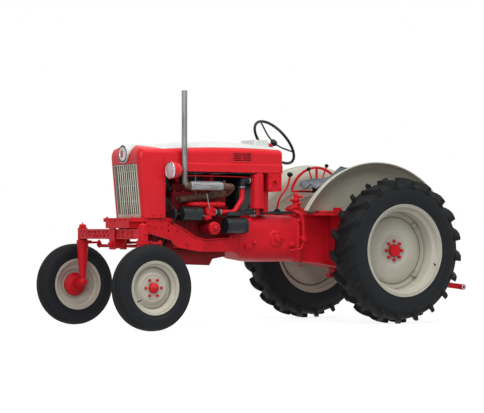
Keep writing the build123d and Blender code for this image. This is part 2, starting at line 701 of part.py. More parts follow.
with BuildPart() as transmission_case:
    with BuildSketch(across(case_back, body_offset)) as rear_section:
        with BuildLine():
            Polyline((-case_half + 20, case_top), (case_half - 20, case_top), (case_half, case_top - 40),
                     (case_half, case_bottom + case_bevel + 20), (case_half - case_bevel - 20, case_bottom),
                     (-case_half + case_bevel + 20, case_bottom), (-case_half, case_bottom + case_bevel + 20),
                     (-case_half, case_top - 40), close=True)
        make_face()
    extrude(rear_section.sketch, amount=bell_x - case_back)
    for hand in (body_left, body_right):
        plane_y = body_offset + hand * case_half
        disc_y(cover_x, plane_y - hand * 5, plane_y + hand * 10, cover_z, cover_r)
        disc_y(cover_x, plane_y, plane_y + hand * 22, cover_z, cover_boss_r)
    for start, end, top in ((bell_x - 26, bell_x, case_top), (case_back, case_back + 22, case_top - 30)):
        block(start, end, body_offset - case_half - case_rim, body_offset + case_half + case_rim, engine_bottom, top)
    block(starter_back - 23, starter_back, body_offset + case_half - 2, starter_y + starter_r - 2,
          starter_z - starter_r + 4, starter_z + starter_r - 4)
    for hand in (body_left, body_right):
        inner = body_offset + hand * case_half
        slab(rail_outline, inner, inner + hand * rail_wall, mode=Mode.SUBTRACT)
save(transmission_case.part, "transmission_case")

datum = axle_x

with BuildPart() as rear_axle:
    slab([(case_end, 520), (case_end, 890), (425, 890), (385, rear_case_top), (rear_case_back, rear_case_top),
          (rear_case_back, 505), (-60, 455), (300, 455), (560, 500)], body_offset - rear_case_half,
         body_offset + rear_case_half)
    for hand in (body_left, body_right):
        start = body_offset + hand * (rear_case_half - 2)
        disc_y(0, start, start + hand * 16, rear_tyre_r, 118)
        disc_y(0, start, hand * housing_end, rear_tyre_r, housing_r)
        disc_y(0, hand * (housing_end - 22), hand * housing_end, rear_tyre_r, housing_r + 18)
        plate_y = hand * (fender_panel_y - bracket_wall)
        block(-110, 110, plate_y, hand * fender_panel_y, rear_tyre_r + 20, fender_low + 60)
        pivot_side = hand * link_pivot_y
        for wall in (-1, 1):
            near = pivot_side + wall * (link_eye_w / 2 + 3)
            block(link_pivot[0] - 34, link_pivot[0] + 34, near, near + wall * 12, link_pivot[1] - 30,
                  rear_tyre_r - 50)
        disc_y(link_pivot[0], pivot_side - 36, pivot_side + 36, link_pivot[1], link_pin_r)
    shaft_x, shaft_z = arm_pivot
    block(shaft_x - 34, shaft_x + 34, -300, -272, rear_tyre_r, shaft_z + 42)
    block(shaft_x - 34, 0, -300, -272, rear_tyre_r - 20, rear_tyre_r + 50)
    disc_x(rear_case_back, rear_case_back - pto_boss, body_offset, pto_z, 44)
    disc_y(0, -half_shaft_end - 200, half_shaft_end + 200, rear_tyre_r, half_shaft_r + running, mode=Mode.SUBTRACT)
    disc_y(shaft_x, -301, -271, shaft_z, lift_shaft_r + running, mode=Mode.SUBTRACT)
    disc_x(rear_case_back - 15, rear_case_back + 62, body_offset, pto_z, pto_neck_r + running, mode=Mode.SUBTRACT)
    # The drawbar's hangers: from, to, top
    for start, end, top in ((150, 260, 470), (-150, -110, 510)):
        block(start, end, drawbar_y - drawbar_half - 8, drawbar_y + drawbar_half + 8, drawbar_top, top)
save(rear_axle.part, "rear_axle")

with BuildPart() as lift_cover:
    block(lift_back, lift_front, body_offset - lift_half, body_offset + lift_half, rear_case_top, lift_top)
    fillet(lift_cover.edges().group_by(Axis.Z)[-1], 20)
    block(lift_back - 25, lift_back + 5, -top_link_half - 3, body_offset - lift_half + 15, rear_case_top + 2,
          top_link_ear_top)
    for ear_y in (-top_link_half, top_link_half - top_link_ear):
        block(top_link_x - 22, lift_back - 20, ear_y, ear_y + top_link_ear, rear_case_top + 2, top_link_ear_top)
    disc_y(top_link_x, -top_link_half - 1, top_link_half + 1, top_link_z, top_link_pin_r, mode=Mode.SUBTRACT)
    disc_y(shaft_x, 0, 2 * body_offset, shaft_z, lift_shaft_r + running, mode=Mode.SUBTRACT)
save(lift_cover.part, "lift_cover")

with BuildPart() as drawbar:
    block(drawbar_end, 300, drawbar_y - drawbar_half, drawbar_y + drawbar_half, drawbar_top - drawbar_h, drawbar_top)
    disc_z(drawbar_end + 30, drawbar_y, drawbar_top - drawbar_h - 1, drawbar_top + 1, drawbar_hole_r,
           mode=Mode.SUBTRACT)
save(drawbar.part, "drawbar")

with BuildPart() as pto_shaft:
    pto_root = rear_case_back - pto_boss - 4
    disc_x(rear_case_back + 60, pto_root, body_offset, pto_z, pto_neck_r)
    disc_x(pto_root, pto_root - pto_length, body_offset, pto_z, pto_r)
save(pto_shaft.part, "pto_shaft")

# Hitch linkage
link_len = hypot(link_end[0] - link_pivot[0], link_end[1] - link_pivot[1])
along = ((link_end[0] - link_pivot[0]) / link_len, (link_end[1] - link_pivot[1]) / link_len)
rod_foot = (link_pivot[0] + arm_length * along[0], link_pivot[1] + arm_length * along[1])
arm_tip = (arm_pivot[0] + arm_length * along[0], arm_pivot[1] + arm_length * along[1])
arm_y = 324
arm_w = 24
rod_eye_r = 24
rod_eye_w = 18
share = arm_length / link_len
rod_foot_y = link_pivot_y + share * (link_end_y - link_pivot_y) + 26
rod_top_y = arm_y - arm_w / 2 - swing_gap - rod_eye_w / 2


def bar(start, end, width, height):
    """Straight flat bar between two points, its height kept upright."""
    first, last = Vector(axle_x + start[0], *start[1:]), Vector(axle_x + end[0], *end[1:])
    run = last - first
    with BuildSketch(Plane(origin=first, x_dir=run.cross(Vector(0, 0, 1)), z_dir=run)) as section:
        Rectangle(width, height)
    extrude(section.sketch, amount=run.length)


def lower_link(hand):
    with BuildPart() as link:
        bar((*link_pivot[:1], hand * link_pivot_y, link_pivot[1]), (link_end[0], hand * link_end_y, link_end[1]),
            16, 46)
        for (x, z), y in ((link_pivot, link_pivot_y), (link_end, link_end_y)):
            disc_y(x, hand * (y - link_eye_w / 2), hand * (y + link_eye_w / 2), z, link_eye_r)
        disc_y(rod_foot[0], hand * (rod_foot_y - 26), hand * (rod_foot_y + 12), rod_foot[1], link_pin_r)
        disc_y(link_pivot[0], hand * 150, hand * 260, link_pivot[1], link_pin_r + running, mode=Mode.SUBTRACT)
        disc_y(link_end[0], hand * 300, hand * 380, link_end[1], link_ball_bore_r, mode=Mode.SUBTRACT)
    return link.part


def lift_rod(hand):
    with BuildPart() as piece:
        rod((rod_foot[0], hand * rod_foot_y, rod_foot[1]), (arm_tip[0], hand * rod_top_y, arm_tip[1]), rod_r)
        for (x, z), y in ((rod_foot, rod_foot_y), (arm_tip, rod_top_y)):
            disc_y(x, hand * (y - rod_eye_w / 2), hand * (y + rod_eye_w / 2), z, rod_eye_r)
            disc_y(x, hand * (y - 30), hand * (y + 30), z, link_pin_r + running, mode=Mode.SUBTRACT)
    return piece.part


for hand, name in ((body_left, "left"), (body_right, "right")):
    save(lower_link(hand), f"lower_link_{name}")
    save(lift_rod(hand), f"lift_rod_{name}")

with BuildPart() as lift_arms:
    disc_y(shaft_x, -arm_y, arm_y, shaft_z, lift_shaft_r)
    for hand in (body_left, body_right):
        inner, outer = hand * (arm_y - arm_w / 2), hand * (arm_y + arm_w / 2)
        disc_y(shaft_x, inner, outer, shaft_z, 40)
        disc_y(arm_tip[0], inner, outer, arm_tip[1], 26)
        bar((shaft_x, hand * arm_y, shaft_z), (arm_tip[0], hand * arm_y, arm_tip[1]), arm_w, 42)
        disc_y(arm_tip[0], hand * (rod_top_y - 12), inner, arm_tip[1], link_pin_r)
save(lift_arms.part, "lift_arms")

datum = axle_x + wheelbase - front_station

# Nose cowl, white top, grille and hood
hood_half = 245
sheet = 4
nose_back = 2070
nose_low = 865
nose_foot_x = 2255
nose_brow = (2300, 1330)
nose_edge_r = 50
crown_front, crown_middle, crown_back = 1440, 1480, 1452
nose_step = 3  # the nose stands this far over the hood behind it
seam_front, seam_middle, seam_back = 1403, 1426, 1416
nose_top_x = 2195
grille_half = 190
grille_top = 1284
cap_half_back = 195
cap_half_front = 75
badge_z = 1365
badge_x = 2316
hood_low = 1230
hood_back = 980
hood_middle = 1560
crease_z = 1290
crease = 6
shoulder_z = 1368


def nose_block(inset):
    """Solid of the nose, or of the room inside it when inset by the sheet. The room runs out at the back and foot."""
    out_by = 1 if inset else 0
    low, back, top = nose_low - out_by, nose_back - out_by, crown_front + 2 * nose_step - inset
    with BuildPart(mode=Mode.PRIVATE) as nose:
        with BuildSketch(side(body_offset + hood_half - inset)) as profile:
            with BuildLine():
                Polyline((nose_top_x, top), (back, top), (back, low), (nose_foot_x - inset, low),
                         (nose_brow[0] - inset, nose_brow[1]))
                TangentArc((nose_brow[0] - inset, nose_brow[1]), (nose_top_x, top),
                           tangent=(nose_brow[0] - nose_foot_x, nose_brow[1] - low))
            make_face()
        extrude(profile.sketch, amount=2 * (hood_half - inset))
        flanks = nose.faces().filter_by(Axis.Y).edges()
        fillet([edge for edge in flanks if edge.center().Z > low + 1 and edge.center().X > datum + back + 1],
               nose_edge_r - inset)
    return nose.part


def hood_section(x, seam, crown, inset, side_step, low):
    """Section across the hood: upright sides, a step at the crease, round shoulders and a low crown."""
    half, upper = hood_half - inset, hood_half - inset - side_step
    seam_z = seam - inset
    bend_y = cap_half_back + 0.72 * (upper - cap_half_back)
    bend_z = shoulder_z + 0.72 * (seam_z - shoulder_z)
    with BuildSketch(across(x, body_offset)) as section:
        with BuildLine():
            ThreePointArc((upper, shoulder_z), (bend_y, bend_z), (cap_half_back, seam_z))
            ThreePointArc((cap_half_back, seam_z), (0, crown - inset), (-cap_half_back, seam_z))
            ThreePointArc((-cap_half_back, seam_z), (-bend_y, bend_z), (-upper, shoulder_z))
            if side_step:
                Polyline((-upper, shoulder_z), (-upper, crease_z + side_step), (-half, crease_z), (-half, low),
                         (half, low), (half, crease_z), (upper, crease_z + side_step), (upper, shoulder_z))
            else:
                Polyline((-upper, shoulder_z), (-half, low), (half, low), (upper, shoulder_z))
        make_face()
    return section.sketch


def hood_block(inset):
    """Solid of the hood behind the nose, or of the room inside it."""
    past = 1 if inset else 0
    stations = ((hood_back - past, seam_back, crown_back), (hood_middle, seam_middle, crown_middle),
                (nose_back + past, seam_front, crown_front))
    with BuildPart(mode=Mode.PRIVATE) as hood:
        loft([hood_section(x, seam, crown, inset, crease, hood_low - past) for x, seam, crown in stations])
    return hood.part


hood_outside, hood_room = hood_block(0), hood_block(sheet)
nose_seam, nose_crown = seam_front + nose_step, crown_front + nose_step
nose_outside = nose_block(0) & extrude(
    hood_section(nose_back - 2, nose_seam, nose_crown, 0, 0, nose_low - 10), amount=300)
nose_room = nose_block(sheet) & extrude(
    hood_section(nose_back - 2, nose_seam, nose_crown, sheet, 0, nose_low - 10), amount=300)
nacelle_r = 72

with BuildPart(mode=Mode.PRIVATE) as cap_region:
    with BuildSketch(level(badge_z)) as cap_plan:
        with BuildLine():
            Polyline((nose_back - 5, body_offset - cap_half_back), (badge_x + 10, body_offset - cap_half_front),
                     (badge_x + 10, body_offset + cap_half_front), (nose_back - 5, body_offset + cap_half_back),
                     close=True)
        make_face()
    extrude(cap_plan.sketch, amount=140)

with BuildPart(mode=Mode.PRIVATE) as nacelle:
    disc_x(2232, badge_x - 8, body_offset, badge_z, nacelle_r)

with BuildPart() as nose_cowl:
    add(nose_outside)
    add(cap_region.part + nacelle.part, mode=Mode.SUBTRACT)
    add(nose_room, mode=Mode.SUBTRACT)
    block(2200, 2330, body_offset - grille_half, body_offset + grille_half, nose_low - 1, grille_top,
          mode=Mode.SUBTRACT)
save(nose_cowl.part, "nose_cowl")

hump_back, hump_front = 1008, 1178
hump_half = 128
hump_top = 1500

with BuildPart(mode=Mode.PRIVATE) as strip:
    block(hood_back - 5, nose_back + 5, body_offset - cap_half_back, body_offset + cap_half_back, 1300, 1600)

with BuildPart(mode=Mode.PRIVATE) as hump:
    with BuildSketch(level(crown_back - 25)) as hump_foot:
        with Locations(((hump_back + hump_front) / 2, body_offset)):
            RectangleRounded(hump_front - hump_back, 2 * hump_half, 40)
    extrude(hump_foot.sketch, amount=hump_top - crown_back + 25, taper=14)

nose_cap = ((nose_outside & cap_region.part) - nose_room) + nacelle.part
with BuildPart() as hood_top:
    add(nose_cap + (((hood_outside & strip.part) - hood_room) + hump.part), clean=False)
save(hood_top.part, "hood_top")

for hand, name in ((body_left, "left"), (body_right, "right")):
    with BuildPart() as hood_side:
        add(hood_outside)
        block(hood_back - 5, nose_back + 5, body_offset + hand * cap_half_back, body_offset - hand * 400,
              hood_low - 10, 1600, mode=Mode.SUBTRACT)
        add(hood_room, mode=Mode.SUBTRACT)
    save(hood_side.part, f"hood_side_{name}")

# Grille: a frame in the nose's opening with upright slats, set back from the nose's face
slats = 23
slat_w = 6
slat_depth = 12
grille_frame = 8
grille_depth = 26
grille_bar_h = 26

with BuildPart() as grille:
    lean = Vector(nose_brow[1] - nose_low, 0, -(nose_brow[0] - nose_foot_x)).normalized()
    tall = (grille_top - nose_low) / lean.X - 4
    face = Plane(origin=(datum + nose_foot_x - sheet, body_offset, nose_low + 1), x_dir=(0, 1, 0), z_dir=lean)
    with BuildSketch(face) as frame:
        with Locations((0, tall / 2)):
            Rectangle(2 * grille_half, tall)
        with Locations((0, grille_bar_h + (tall - grille_bar_h - grille_frame) / 2)):
            Rectangle(2 * (grille_half - grille_frame), tall - grille_bar_h - grille_frame, mode=Mode.SUBTRACT)
    extrude(frame.sketch, amount=-grille_depth)
    with BuildSketch(face.offset(-grille_depth)) as bars:
        with Locations((0, tall / 2)):
            with GridLocations(2 * (grille_half - grille_frame) / (slats + 1), 1, slats, 1):
                Rectangle(slat_w, tall - 10)
    extrude(bars.sketch, amount=slat_depth)
save(grille.part, "grille")

# Headlights, one on each side of the hood behind the nose
lamp_x = 2072
lamp_out = 320
lamp_z = 1232
lamp_r = 68

for hand, name in ((body_left, "left"), (body_right, "right")):
    lamp_y = body_offset + hand * lamp_out
    with BuildPart() as headlight:
        with BuildSketch(Plane(origin=(datum, lamp_y, lamp_z), x_dir=(1, 0, 0), z_dir=(0, -1, 0))) as bowl:
            with BuildLine():
                Polyline((lamp_x - 104, 0), (lamp_x - 98, 34), (lamp_x - 60, lamp_r - 6), (lamp_x - 14, lamp_r),
                         (lamp_x - 4, lamp_r), (lamp_x, lamp_r - 8), (lamp_x + 6, 0), close=True)
            make_face()
        revolve(bowl.sketch, axis=Axis((datum, lamp_y, lamp_z), (1, 0, 0)))
        disc_y(2020, body_offset + hand * hood_half, lamp_y, 1252, 15)
    save(headlight.part, f"headlight_{name}")

# Dash panel, its support, steering column and wheel
wheel_hub = (770, 1500)  # ahead of the rear axle, height
column_slope = 38
wheel_r = 217
wheel_rim = 13
column_r = 20
column_foot_x = 1215
wheel_shaft_r = 9
support_back, support_front, support_right, support_bottom = 988, 1113, 60, 1080
down = Vector(cos(radians(column_slope)), 0, -sin(radians(column_slope)))
hub_point = Vector(datum + wheel_hub[0], drive_line, wheel_hub[1])
column_length = (column_foot_x - wheel_hub[0]) / down.X
column_start = 40
hub_plane = Plane(origin=hub_point, x_dir=(0, 1, 0), z_dir=-down)


def column_disc(start, reach, radius, mode=Mode.ADD):
    """Round piece on the steering column's line, measured down from the wheel's hub."""
    with BuildSketch(Plane(origin=hub_point + down * start, x_dir=(0, 1, 0), z_dir=down)) as section:
        Circle(radius)
    extrude(section.sketch, amount=reach, mode=mode)


with BuildPart() as dash_panel:
    extrude(hood_section(hood_back + 8, seam_back, crown_back, sheet + 0.5, crease, hood_low), amount=12)
    column_disc(0, column_length, column_r + 4, mode=Mode.SUBTRACT)
save(dash_panel.part, "dash_panel")

with BuildPart() as rear_support:
    block(support_back, support_front, support_right, body_offset + hood_half, support_bottom, hood_low)
    fillet(rear_support.edges().filter_by(Axis.Y).group_by(Axis.Z)[0], 14)
    for right, left in ((290, 385), (support_right, 120)):
        block(support_front - 35, support_front + 13, right, left, case_top, support_bottom + 5)
    disc_y(1055, body_offset + hood_half - 12, body_offset + hood_half + 1, 1145, 22, mode=Mode.SUBTRACT)
save(rear_support.part, "rear_support")

with BuildPart() as steering_column:
    column_disc(column_start, column_length - column_start, column_r)
    block(1182, 1288, drive_line - 42, drive_line + 46, case_top, 1152)
    column_disc(column_start - 1, 90, wheel_shaft_r + running, mode=Mode.SUBTRACT)
save(steering_column.part, "steering_column")

with BuildPart() as steering_wheel:
    with Locations(hub_plane):
        Torus(wheel_r, wheel_rim)
    column_disc(-26, 46, 32)
    column_disc(0, column_start + 60, wheel_shaft_r)
    for turn in range(3):
        angle = radians(90 + 120 * turn)
        outwards = hub_plane.x_dir * cos(angle) + hub_plane.y_dir * sin(angle)
        with BuildSketch(Plane(origin=hub_point, z_dir=outwards)) as spoke:
            Circle(8)
        extrude(spoke.sketch, amount=wheel_r)
save(steering_wheel.part, "steering_wheel")

# Seat and its support, with the lift control's quadrant beside it
seat_half = 200
seat_wall = 6
seat_line = [(400, 1160), (330, 1150), (110, 1150), (20, 1205), (-20, 1300)]
seat_side = [(400, 1160), (330, 1150), (110, 1150), (20, 1205), (-20, 1300), (-5, 1312), (60, 1306), (370, 1185)]
post_x = 235
quadrant_x, quadrant_z = 185, 1040
quadrant_y = -230
quadrant_r = 275

datum = axle_x

with BuildPart() as seat_pan:
    top_line = [(x + seat_wall * (1 if i > 2 else 0), z + seat_wall * (0 if i > 3 else 1))
                for i, (x, z) in enumerate(seat_line)]
    slab(seat_line + top_line[::-1], drive_line - seat_half, drive_line + seat_half)
    for hand in (body_left, body_right):
        slab(seat_side, drive_line + hand * seat_half, drive_line + hand * (seat_half - seat_wall))
save(seat_pan.part, "seat_pan")

with BuildPart() as seat_support:
    block(post_x - 40, post_x + 40, 100, 170, lift_top, lift_top + 18)
    block(post_x - 22, post_x + 22, 100, 140, lift_top, 1100)
    block(post_x - 22, post_x + 22, drive_line - 30, 140, 1078, 1100)
    disc_z(post_x, drive_line, 1078, 1150, 30)
    block(quadrant_x - 18, quadrant_x + 18, quadrant_y - 6, 140, lift_top, lift_top + 18)
    with BuildSketch(side(quadrant_y + 6)) as arc_band:
        with Locations((quadrant_x, quadrant_z)):
            Circle(quadrant_r)
            Circle(quadrant_r - 20, mode=Mode.SUBTRACT)
        with Locations((quadrant_x, quadrant_z - quadrant_r + 70)):
            Rectangle(3 * quadrant_r, 2 * quadrant_r, mode=Mode.SUBTRACT)
        with Locations((quadrant_x, (quadrant_z + quadrant_r + lift_top) / 2 - 8)):
            Rectangle(18, quadrant_z + quadrant_r - lift_top - 12)
        with Locations((quadrant_x + 60, quadrant_z + 60)):
            Rectangle(2 * quadrant_r - 150, 16)
    extrude(arc_band.sketch, amount=12)
save(seat_support.part, "seat_support")

# Fenders: a flat panel inside the wheel rolled outwards to a round crown and a beaded lip
fender_centre = (70, 510)
fender_r = 820
fender_crown_r = 110
fender_lip_y = 500
fender_lip_r = 7
fender_wall = 3


def fender(hand):
    crown_y = fender_panel_y + fender_crown_r
    panel_r = fender_r - fender_crown_r
    slant = cos(radians(45))
    with BuildPart() as piece:
        with BuildSketch(across(fender_centre[0], 0, fender_centre[1])) as profile:
            with BuildLine():
                inner_r = fender_crown_r - fender_wall
                Polyline((hand * fender_panel_y, 400), (hand * fender_panel_y, panel_r))
                ThreePointArc((hand * fender_panel_y, panel_r),
                              (hand * (crown_y - fender_crown_r * slant), panel_r + fender_crown_r * slant),
                              (hand * crown_y, fender_r))
                Polyline((hand * crown_y, fender_r), (hand * fender_lip_y, fender_r),
                         (hand * fender_lip_y, fender_r - fender_wall), (hand * crown_y, fender_r - fender_wall))
                ThreePointArc((hand * crown_y, fender_r - fender_wall),
                              (hand * (crown_y - inner_r * slant), panel_r + inner_r * slant),
                              (hand * (fender_panel_y + fender_wall), panel_r))
                Polyline((hand * (fender_panel_y + fender_wall), panel_r),
                         (hand * (fender_panel_y + fender_wall), 400), (hand * fender_panel_y, 400))
            make_face()
            with Locations((hand * fender_lip_y, fender_r - fender_wall / 2)):
                Circle(fender_lip_r)
        revolve(profile.sketch, axis=lateral(*fender_centre))
        block(-2 * fender_r, 2 * fender_r, -2 * fender_r, 2 * fender_r, -2 * fender_r, fender_low, mode=Mode.SUBTRACT)
    return piece.part


for hand, name in ((body_left, "left"), (body_right, "right")):
    save(fender(hand), f"fender_{name}")

# Footrests and gear lever
rest_wall = 12
rest_back, rest_front = rear_tyre_r - 162, rear_tyre_r + 98

with BuildPart() as footrest_left:
    block(rest_back, rest_front, 280, 505, 890, 890 + rest_wall)
    block(rest_back, rest_back + rest_wall, 400, 505, 890, 955)
save(footrest_left.part, "footrest_left")

with BuildPart() as footrest_right:
    block(rest_back, rest_front, -150, 120, 890, 890 + rest_wall)
    block(rest_back, rest_back + rest_wall, -150, -20, 890, 955)
save(footrest_right.part, "footrest_right")

with BuildPart() as gear_lever:
    disc_z(870, body_offset, case_top, 906, 44)
    disc_z(870, body_offset, 906, 948, 26)
    rod((870, body_offset, 930), (745, body_offset, 1222), 8)
    with Locations(Location((axle_x + 745, body_offset, 1228))):
        Sphere(22)
save(gear_lever.part, "gear_lever")
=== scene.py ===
"""The looks of an offset row-crop farm tractor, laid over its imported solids.

Sizes are millimetres forward from the rear axle, left of the wheels' middle and up from the ground, as the
tractor's maker would give them. at() turns them to the model's metres.
"""

from math import copysign, cos, pi, radians, sin, tau

import bmesh
import bpy
from mathutils import Matrix, Vector


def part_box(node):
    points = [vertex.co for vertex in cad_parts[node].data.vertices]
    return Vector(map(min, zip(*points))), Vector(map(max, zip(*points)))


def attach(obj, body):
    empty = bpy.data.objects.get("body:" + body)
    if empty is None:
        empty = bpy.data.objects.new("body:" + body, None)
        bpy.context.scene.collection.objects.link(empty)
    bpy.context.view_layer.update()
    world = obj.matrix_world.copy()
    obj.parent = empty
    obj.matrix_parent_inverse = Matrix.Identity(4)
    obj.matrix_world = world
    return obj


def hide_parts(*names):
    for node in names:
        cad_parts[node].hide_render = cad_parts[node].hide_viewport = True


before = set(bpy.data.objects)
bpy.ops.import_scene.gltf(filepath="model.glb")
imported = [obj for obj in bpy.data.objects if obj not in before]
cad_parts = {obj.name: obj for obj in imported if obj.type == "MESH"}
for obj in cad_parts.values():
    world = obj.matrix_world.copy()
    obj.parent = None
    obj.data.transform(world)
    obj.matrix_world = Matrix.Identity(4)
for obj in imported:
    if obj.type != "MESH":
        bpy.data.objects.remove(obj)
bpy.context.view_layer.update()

# The place of the tractor. Its rear axle is the line that everything forward and back is counted from, and
# the height and the side are counted from the ground and from the middle between the wheels.
MM = 0.001
rear_box_low, rear_box_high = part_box("rear_tyre_left")
rear_axle_x = (rear_box_low[0] + rear_box_high[0]) / 2
FORWARD, LEFT, UP = Vector((1, 0, 0)), Vector((0, 1, 0)), Vector((0, 0, 1))
SIDES = ((1, "left"), (-1, "right"))


def at(x, y, z):
    """A point of the tractor in the model's metres."""
    return Vector((rear_axle_x + x * MM, y * MM, z * MM))


# Rear tyres. A bias-ply drive tyre of moulded rubber: a hollow casing with a crowned tread, and two rows of
# curved lugs, 20 to a row, which are staggered so that one is always on the ground.
REAR_TRACK, REAR_TYRE_R, REAR_SEAT_R = 1320, 602, 356


def linear(code):
    """Linear colour of an sRGB hex value."""
    parts = [int(code[i:i + 2], 16) / 255 for i in (0, 2, 4)]
    return [p / 12.92 if p <= 0.04045 else ((p + 0.055) / 1.055) ** 2.4 for p in parts] + [1.0]


def add(tree, kind, inputs=None, settings=None):
    """Adds a node; an input's value is a plain value or another node's output."""
    node = tree.nodes.new(kind)
    for name, value in (settings or {}).items():
        setattr(node, name, value)
    for name, value in (inputs or {}).items():
        if isinstance(value, bpy.types.NodeSocket):
            tree.links.new(value, node.inputs[name])
        else:
            node.inputs[name].default_value = value
    return node


def blank_material(name):
    """A material, its tree and its output, with nothing else in it yet."""
    material = bpy.data.materials.new(name)
    material.use_nodes = True
    material.node_tree.nodes.clear()
    return material, material.node_tree, add(material.node_tree, "ShaderNodeOutputMaterial")


def shown(tree, output, shader):
    """Shows a shader on the surface."""
    tree.links.new(shader.outputs[0], output.inputs["Surface"])


def ramp(tree, factor, low, high, start, end):
    """Blend from one value to another as a factor goes from start to end."""
    return add(tree, "ShaderNodeMapRange", {"Value": factor, "From Min": start, "From Max": end,
                                            "To Min": low, "To Max": high}).outputs["Result"]


def product(tree, first, second):
    """Product of two values, each a number or another node's output."""
    return add(tree, "ShaderNodeMath", {0: first, 1: second}, {"operation": "MULTIPLY"}).outputs[0]


def mixed(tree, factor, first, second, blend="MIX"):
    """Mix of two colours, each a value or another node's output."""
    mix = add(tree, "ShaderNodeMix", {0: factor, 6: first, 7: second},
              {"data_type": "RGBA", "blend_type": blend})
    return mix.outputs[2]


def noise(tree, place, size, detail=5.0, roughness=0.6):
    """Cloudy pattern whose patches are about a size across, in metres."""
    return add(tree, "ShaderNodeTexNoise", {"Vector": place, "Scale": 1 / size, "Detail": detail,
                                            "Roughness": roughness}).outputs["Fac"]


def moulded(name, colour, worn, roughness, dust_share):
    """Black rubber or plastic with a fine moulded grain. Dust lies in its corners, most near the ground."""
    material, tree, output = blank_material(name)
    place = add(tree, "ShaderNodeTexCoord").outputs["Object"]
    patches = noise(tree, place, 0.07, 6.0, 0.65)
    base = mixed(tree, ramp(tree, patches, 0.0, 1.0, 0.35, 0.7), linear(colour), linear(worn))
    corners = add(tree, "ShaderNodeAmbientOcclusion", {"Distance": 0.04}, {"samples": 6}).outputs["AO"]
    height = add(tree, "ShaderNodeSeparateXYZ", {"Vector": place}).outputs["Z"]
    near_ground = ramp(tree, height, 1.0, 0.2, 0.0, 0.4)
    dust = product(tree, product(tree, ramp(tree, corners, dust_share, 0.0, 0.4, 0.95), near_ground), patches)
    soft = add(tree, "ShaderNodeBevel", {"Radius": 0.003}, {"samples": 4}).outputs["Normal"]
    bump = add(tree, "ShaderNodeBump", {"Height": noise(tree, place, 0.003, 3.0), "Distance": 0.0005,
                                        "Strength": 0.5, "Normal": soft})
    shown(tree, output, add(tree, "ShaderNodeBsdfPrincipled", {
        "Base Color": mixed(tree, dust, base, linear("5A5347")), "Normal": bump.outputs["Normal"],
        "Roughness": ramp(tree, patches, roughness, roughness + 0.15, 0.35, 0.7), "IOR": 1.52,
        "Specular IOR Level": 0.2}))
    return material


# The tread is dull, and the sidewall has weathered to a blue-grey sheen
tread_rubber = moulded("moulded tyre rubber, tread", "0D0F11", "161819", 0.66, 0.8)
sidewall_rubber = moulded("moulded tyre rubber, sidewall", "0F1216", "171B20", 0.56, 0.3)


def rounded(points, cut, steps=4):
    """An outline with its corners rounded off, each a cut in from the corner or less on a short side."""
    result = []
    count = len(points)
    for i, corner in enumerate(points):
        before, after = Vector(points[i - 1]), Vector(points[(i + 1) % count])
        corner = Vector(corner)
        back, on = before - corner, after - corner
        size = min(cut, 0.45 * back.length, 0.45 * on.length)
        first, last = corner + back.normalized() * size, corner + on.normalized() * size
        for step in range(steps + 1):
            t = step / steps
            result.append((1 - t) ** 2 * first + 2 * t * (1 - t) * corner + t ** 2 * last)
    return result


def skin(shape, rings):
    """Closes the wall between each ring of a bmesh's points and the next."""
    for here, there in zip(rings, rings[1:]):
        for i in range(len(here)):
            j = (i + 1) % len(here)
            shape.faces.new((here[i], here[j], there[j], there[i]))


def turned(shape, outline, start, axis, count=32, material=lambda along, radius: 0):
    """Adds a turned solid to a bmesh. Its closed outline's points are places along the axis and radii."""
    axis = Vector(axis).normalized()
    one = (FORWARD if abs(axis.x) < 0.9 else UP).cross(axis).normalized()
    two = axis.cross(one)
    rings = []
    for step in range(count):
        away = one * cos(step * tau / count) + two * sin(step * tau / count)
        rings.append([shape.verts.new(at(*(Vector(start) + axis * a + away * r))) for a, r in outline])
    for step in range(count):
        here, there = rings[step], rings[(step + 1) % count]
        for i in range(len(outline)):
            j = (i + 1) % len(outline)
            face = shape.faces.new((here[i], here[j], there[j], there[i]))
            face.material_index = material(*((Vector(outline[i]) + Vector(outline[j])) / 2))


def linked(name, mesh):
    """A new object of a mesh, in the scene."""
    piece = bpy.data.objects.new(name, mesh)
    bpy.context.scene.collection.objects.link(piece)
    return piece


def placed(name, shape, materials, smooth_angle=35):
    """A new object from a bmesh in the model's metres, closed, facing outwards and smooth below an angle."""
    mesh = bpy.data.meshes.new(name)
    bmesh.ops.remove_doubles(shape, verts=shape.verts, dist=1e-6)
    bmesh.ops.recalc_face_normals(shape, faces=shape.faces)
    shape.to_mesh(mesh)
    shape.free()
    for face in mesh.polygons:
        face.use_smooth = True
    mesh.set_sharp_from_angle(angle=radians(smooth_angle))
    for material in materials:
        mesh.materials.append(material)
    return linked(name, mesh)


def own(piece, body="chassis", *solids):
    """Lets a piece ride on a body, and hides the solids that it stands for."""
    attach(piece, body)
    if solids:
        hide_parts(*solids)


def new_tree(name, material, inputs):
    """A Geometry Nodes tree that gets a mesh and named sizes, and a function that ends it with its result."""
    tree = bpy.data.node_groups.new(name, "GeometryNodeTree")
    tree.interface.new_socket("Geometry", in_out="INPUT", socket_type="NodeSocketGeometry")
    for title, kind in inputs.items():
        tree.interface.new_socket(title, in_out="INPUT", socket_type=f"NodeSocket{kind}")
    tree.interface.new_socket("Geometry", in_out="OUTPUT", socket_type="NodeSocketGeometry")

    def close(made):
        real = add(tree, "GeometryNodeRealizeInstances", {"Geometry": made})
        painted = add(tree, "GeometryNodeSetMaterial", {"Geometry": real.outputs[0], "Material": material})
        add(tree, "NodeGroupOutput", {"Geometry": painted.outputs[0]})

    return tree, add(tree, "NodeGroupInput").outputs, close


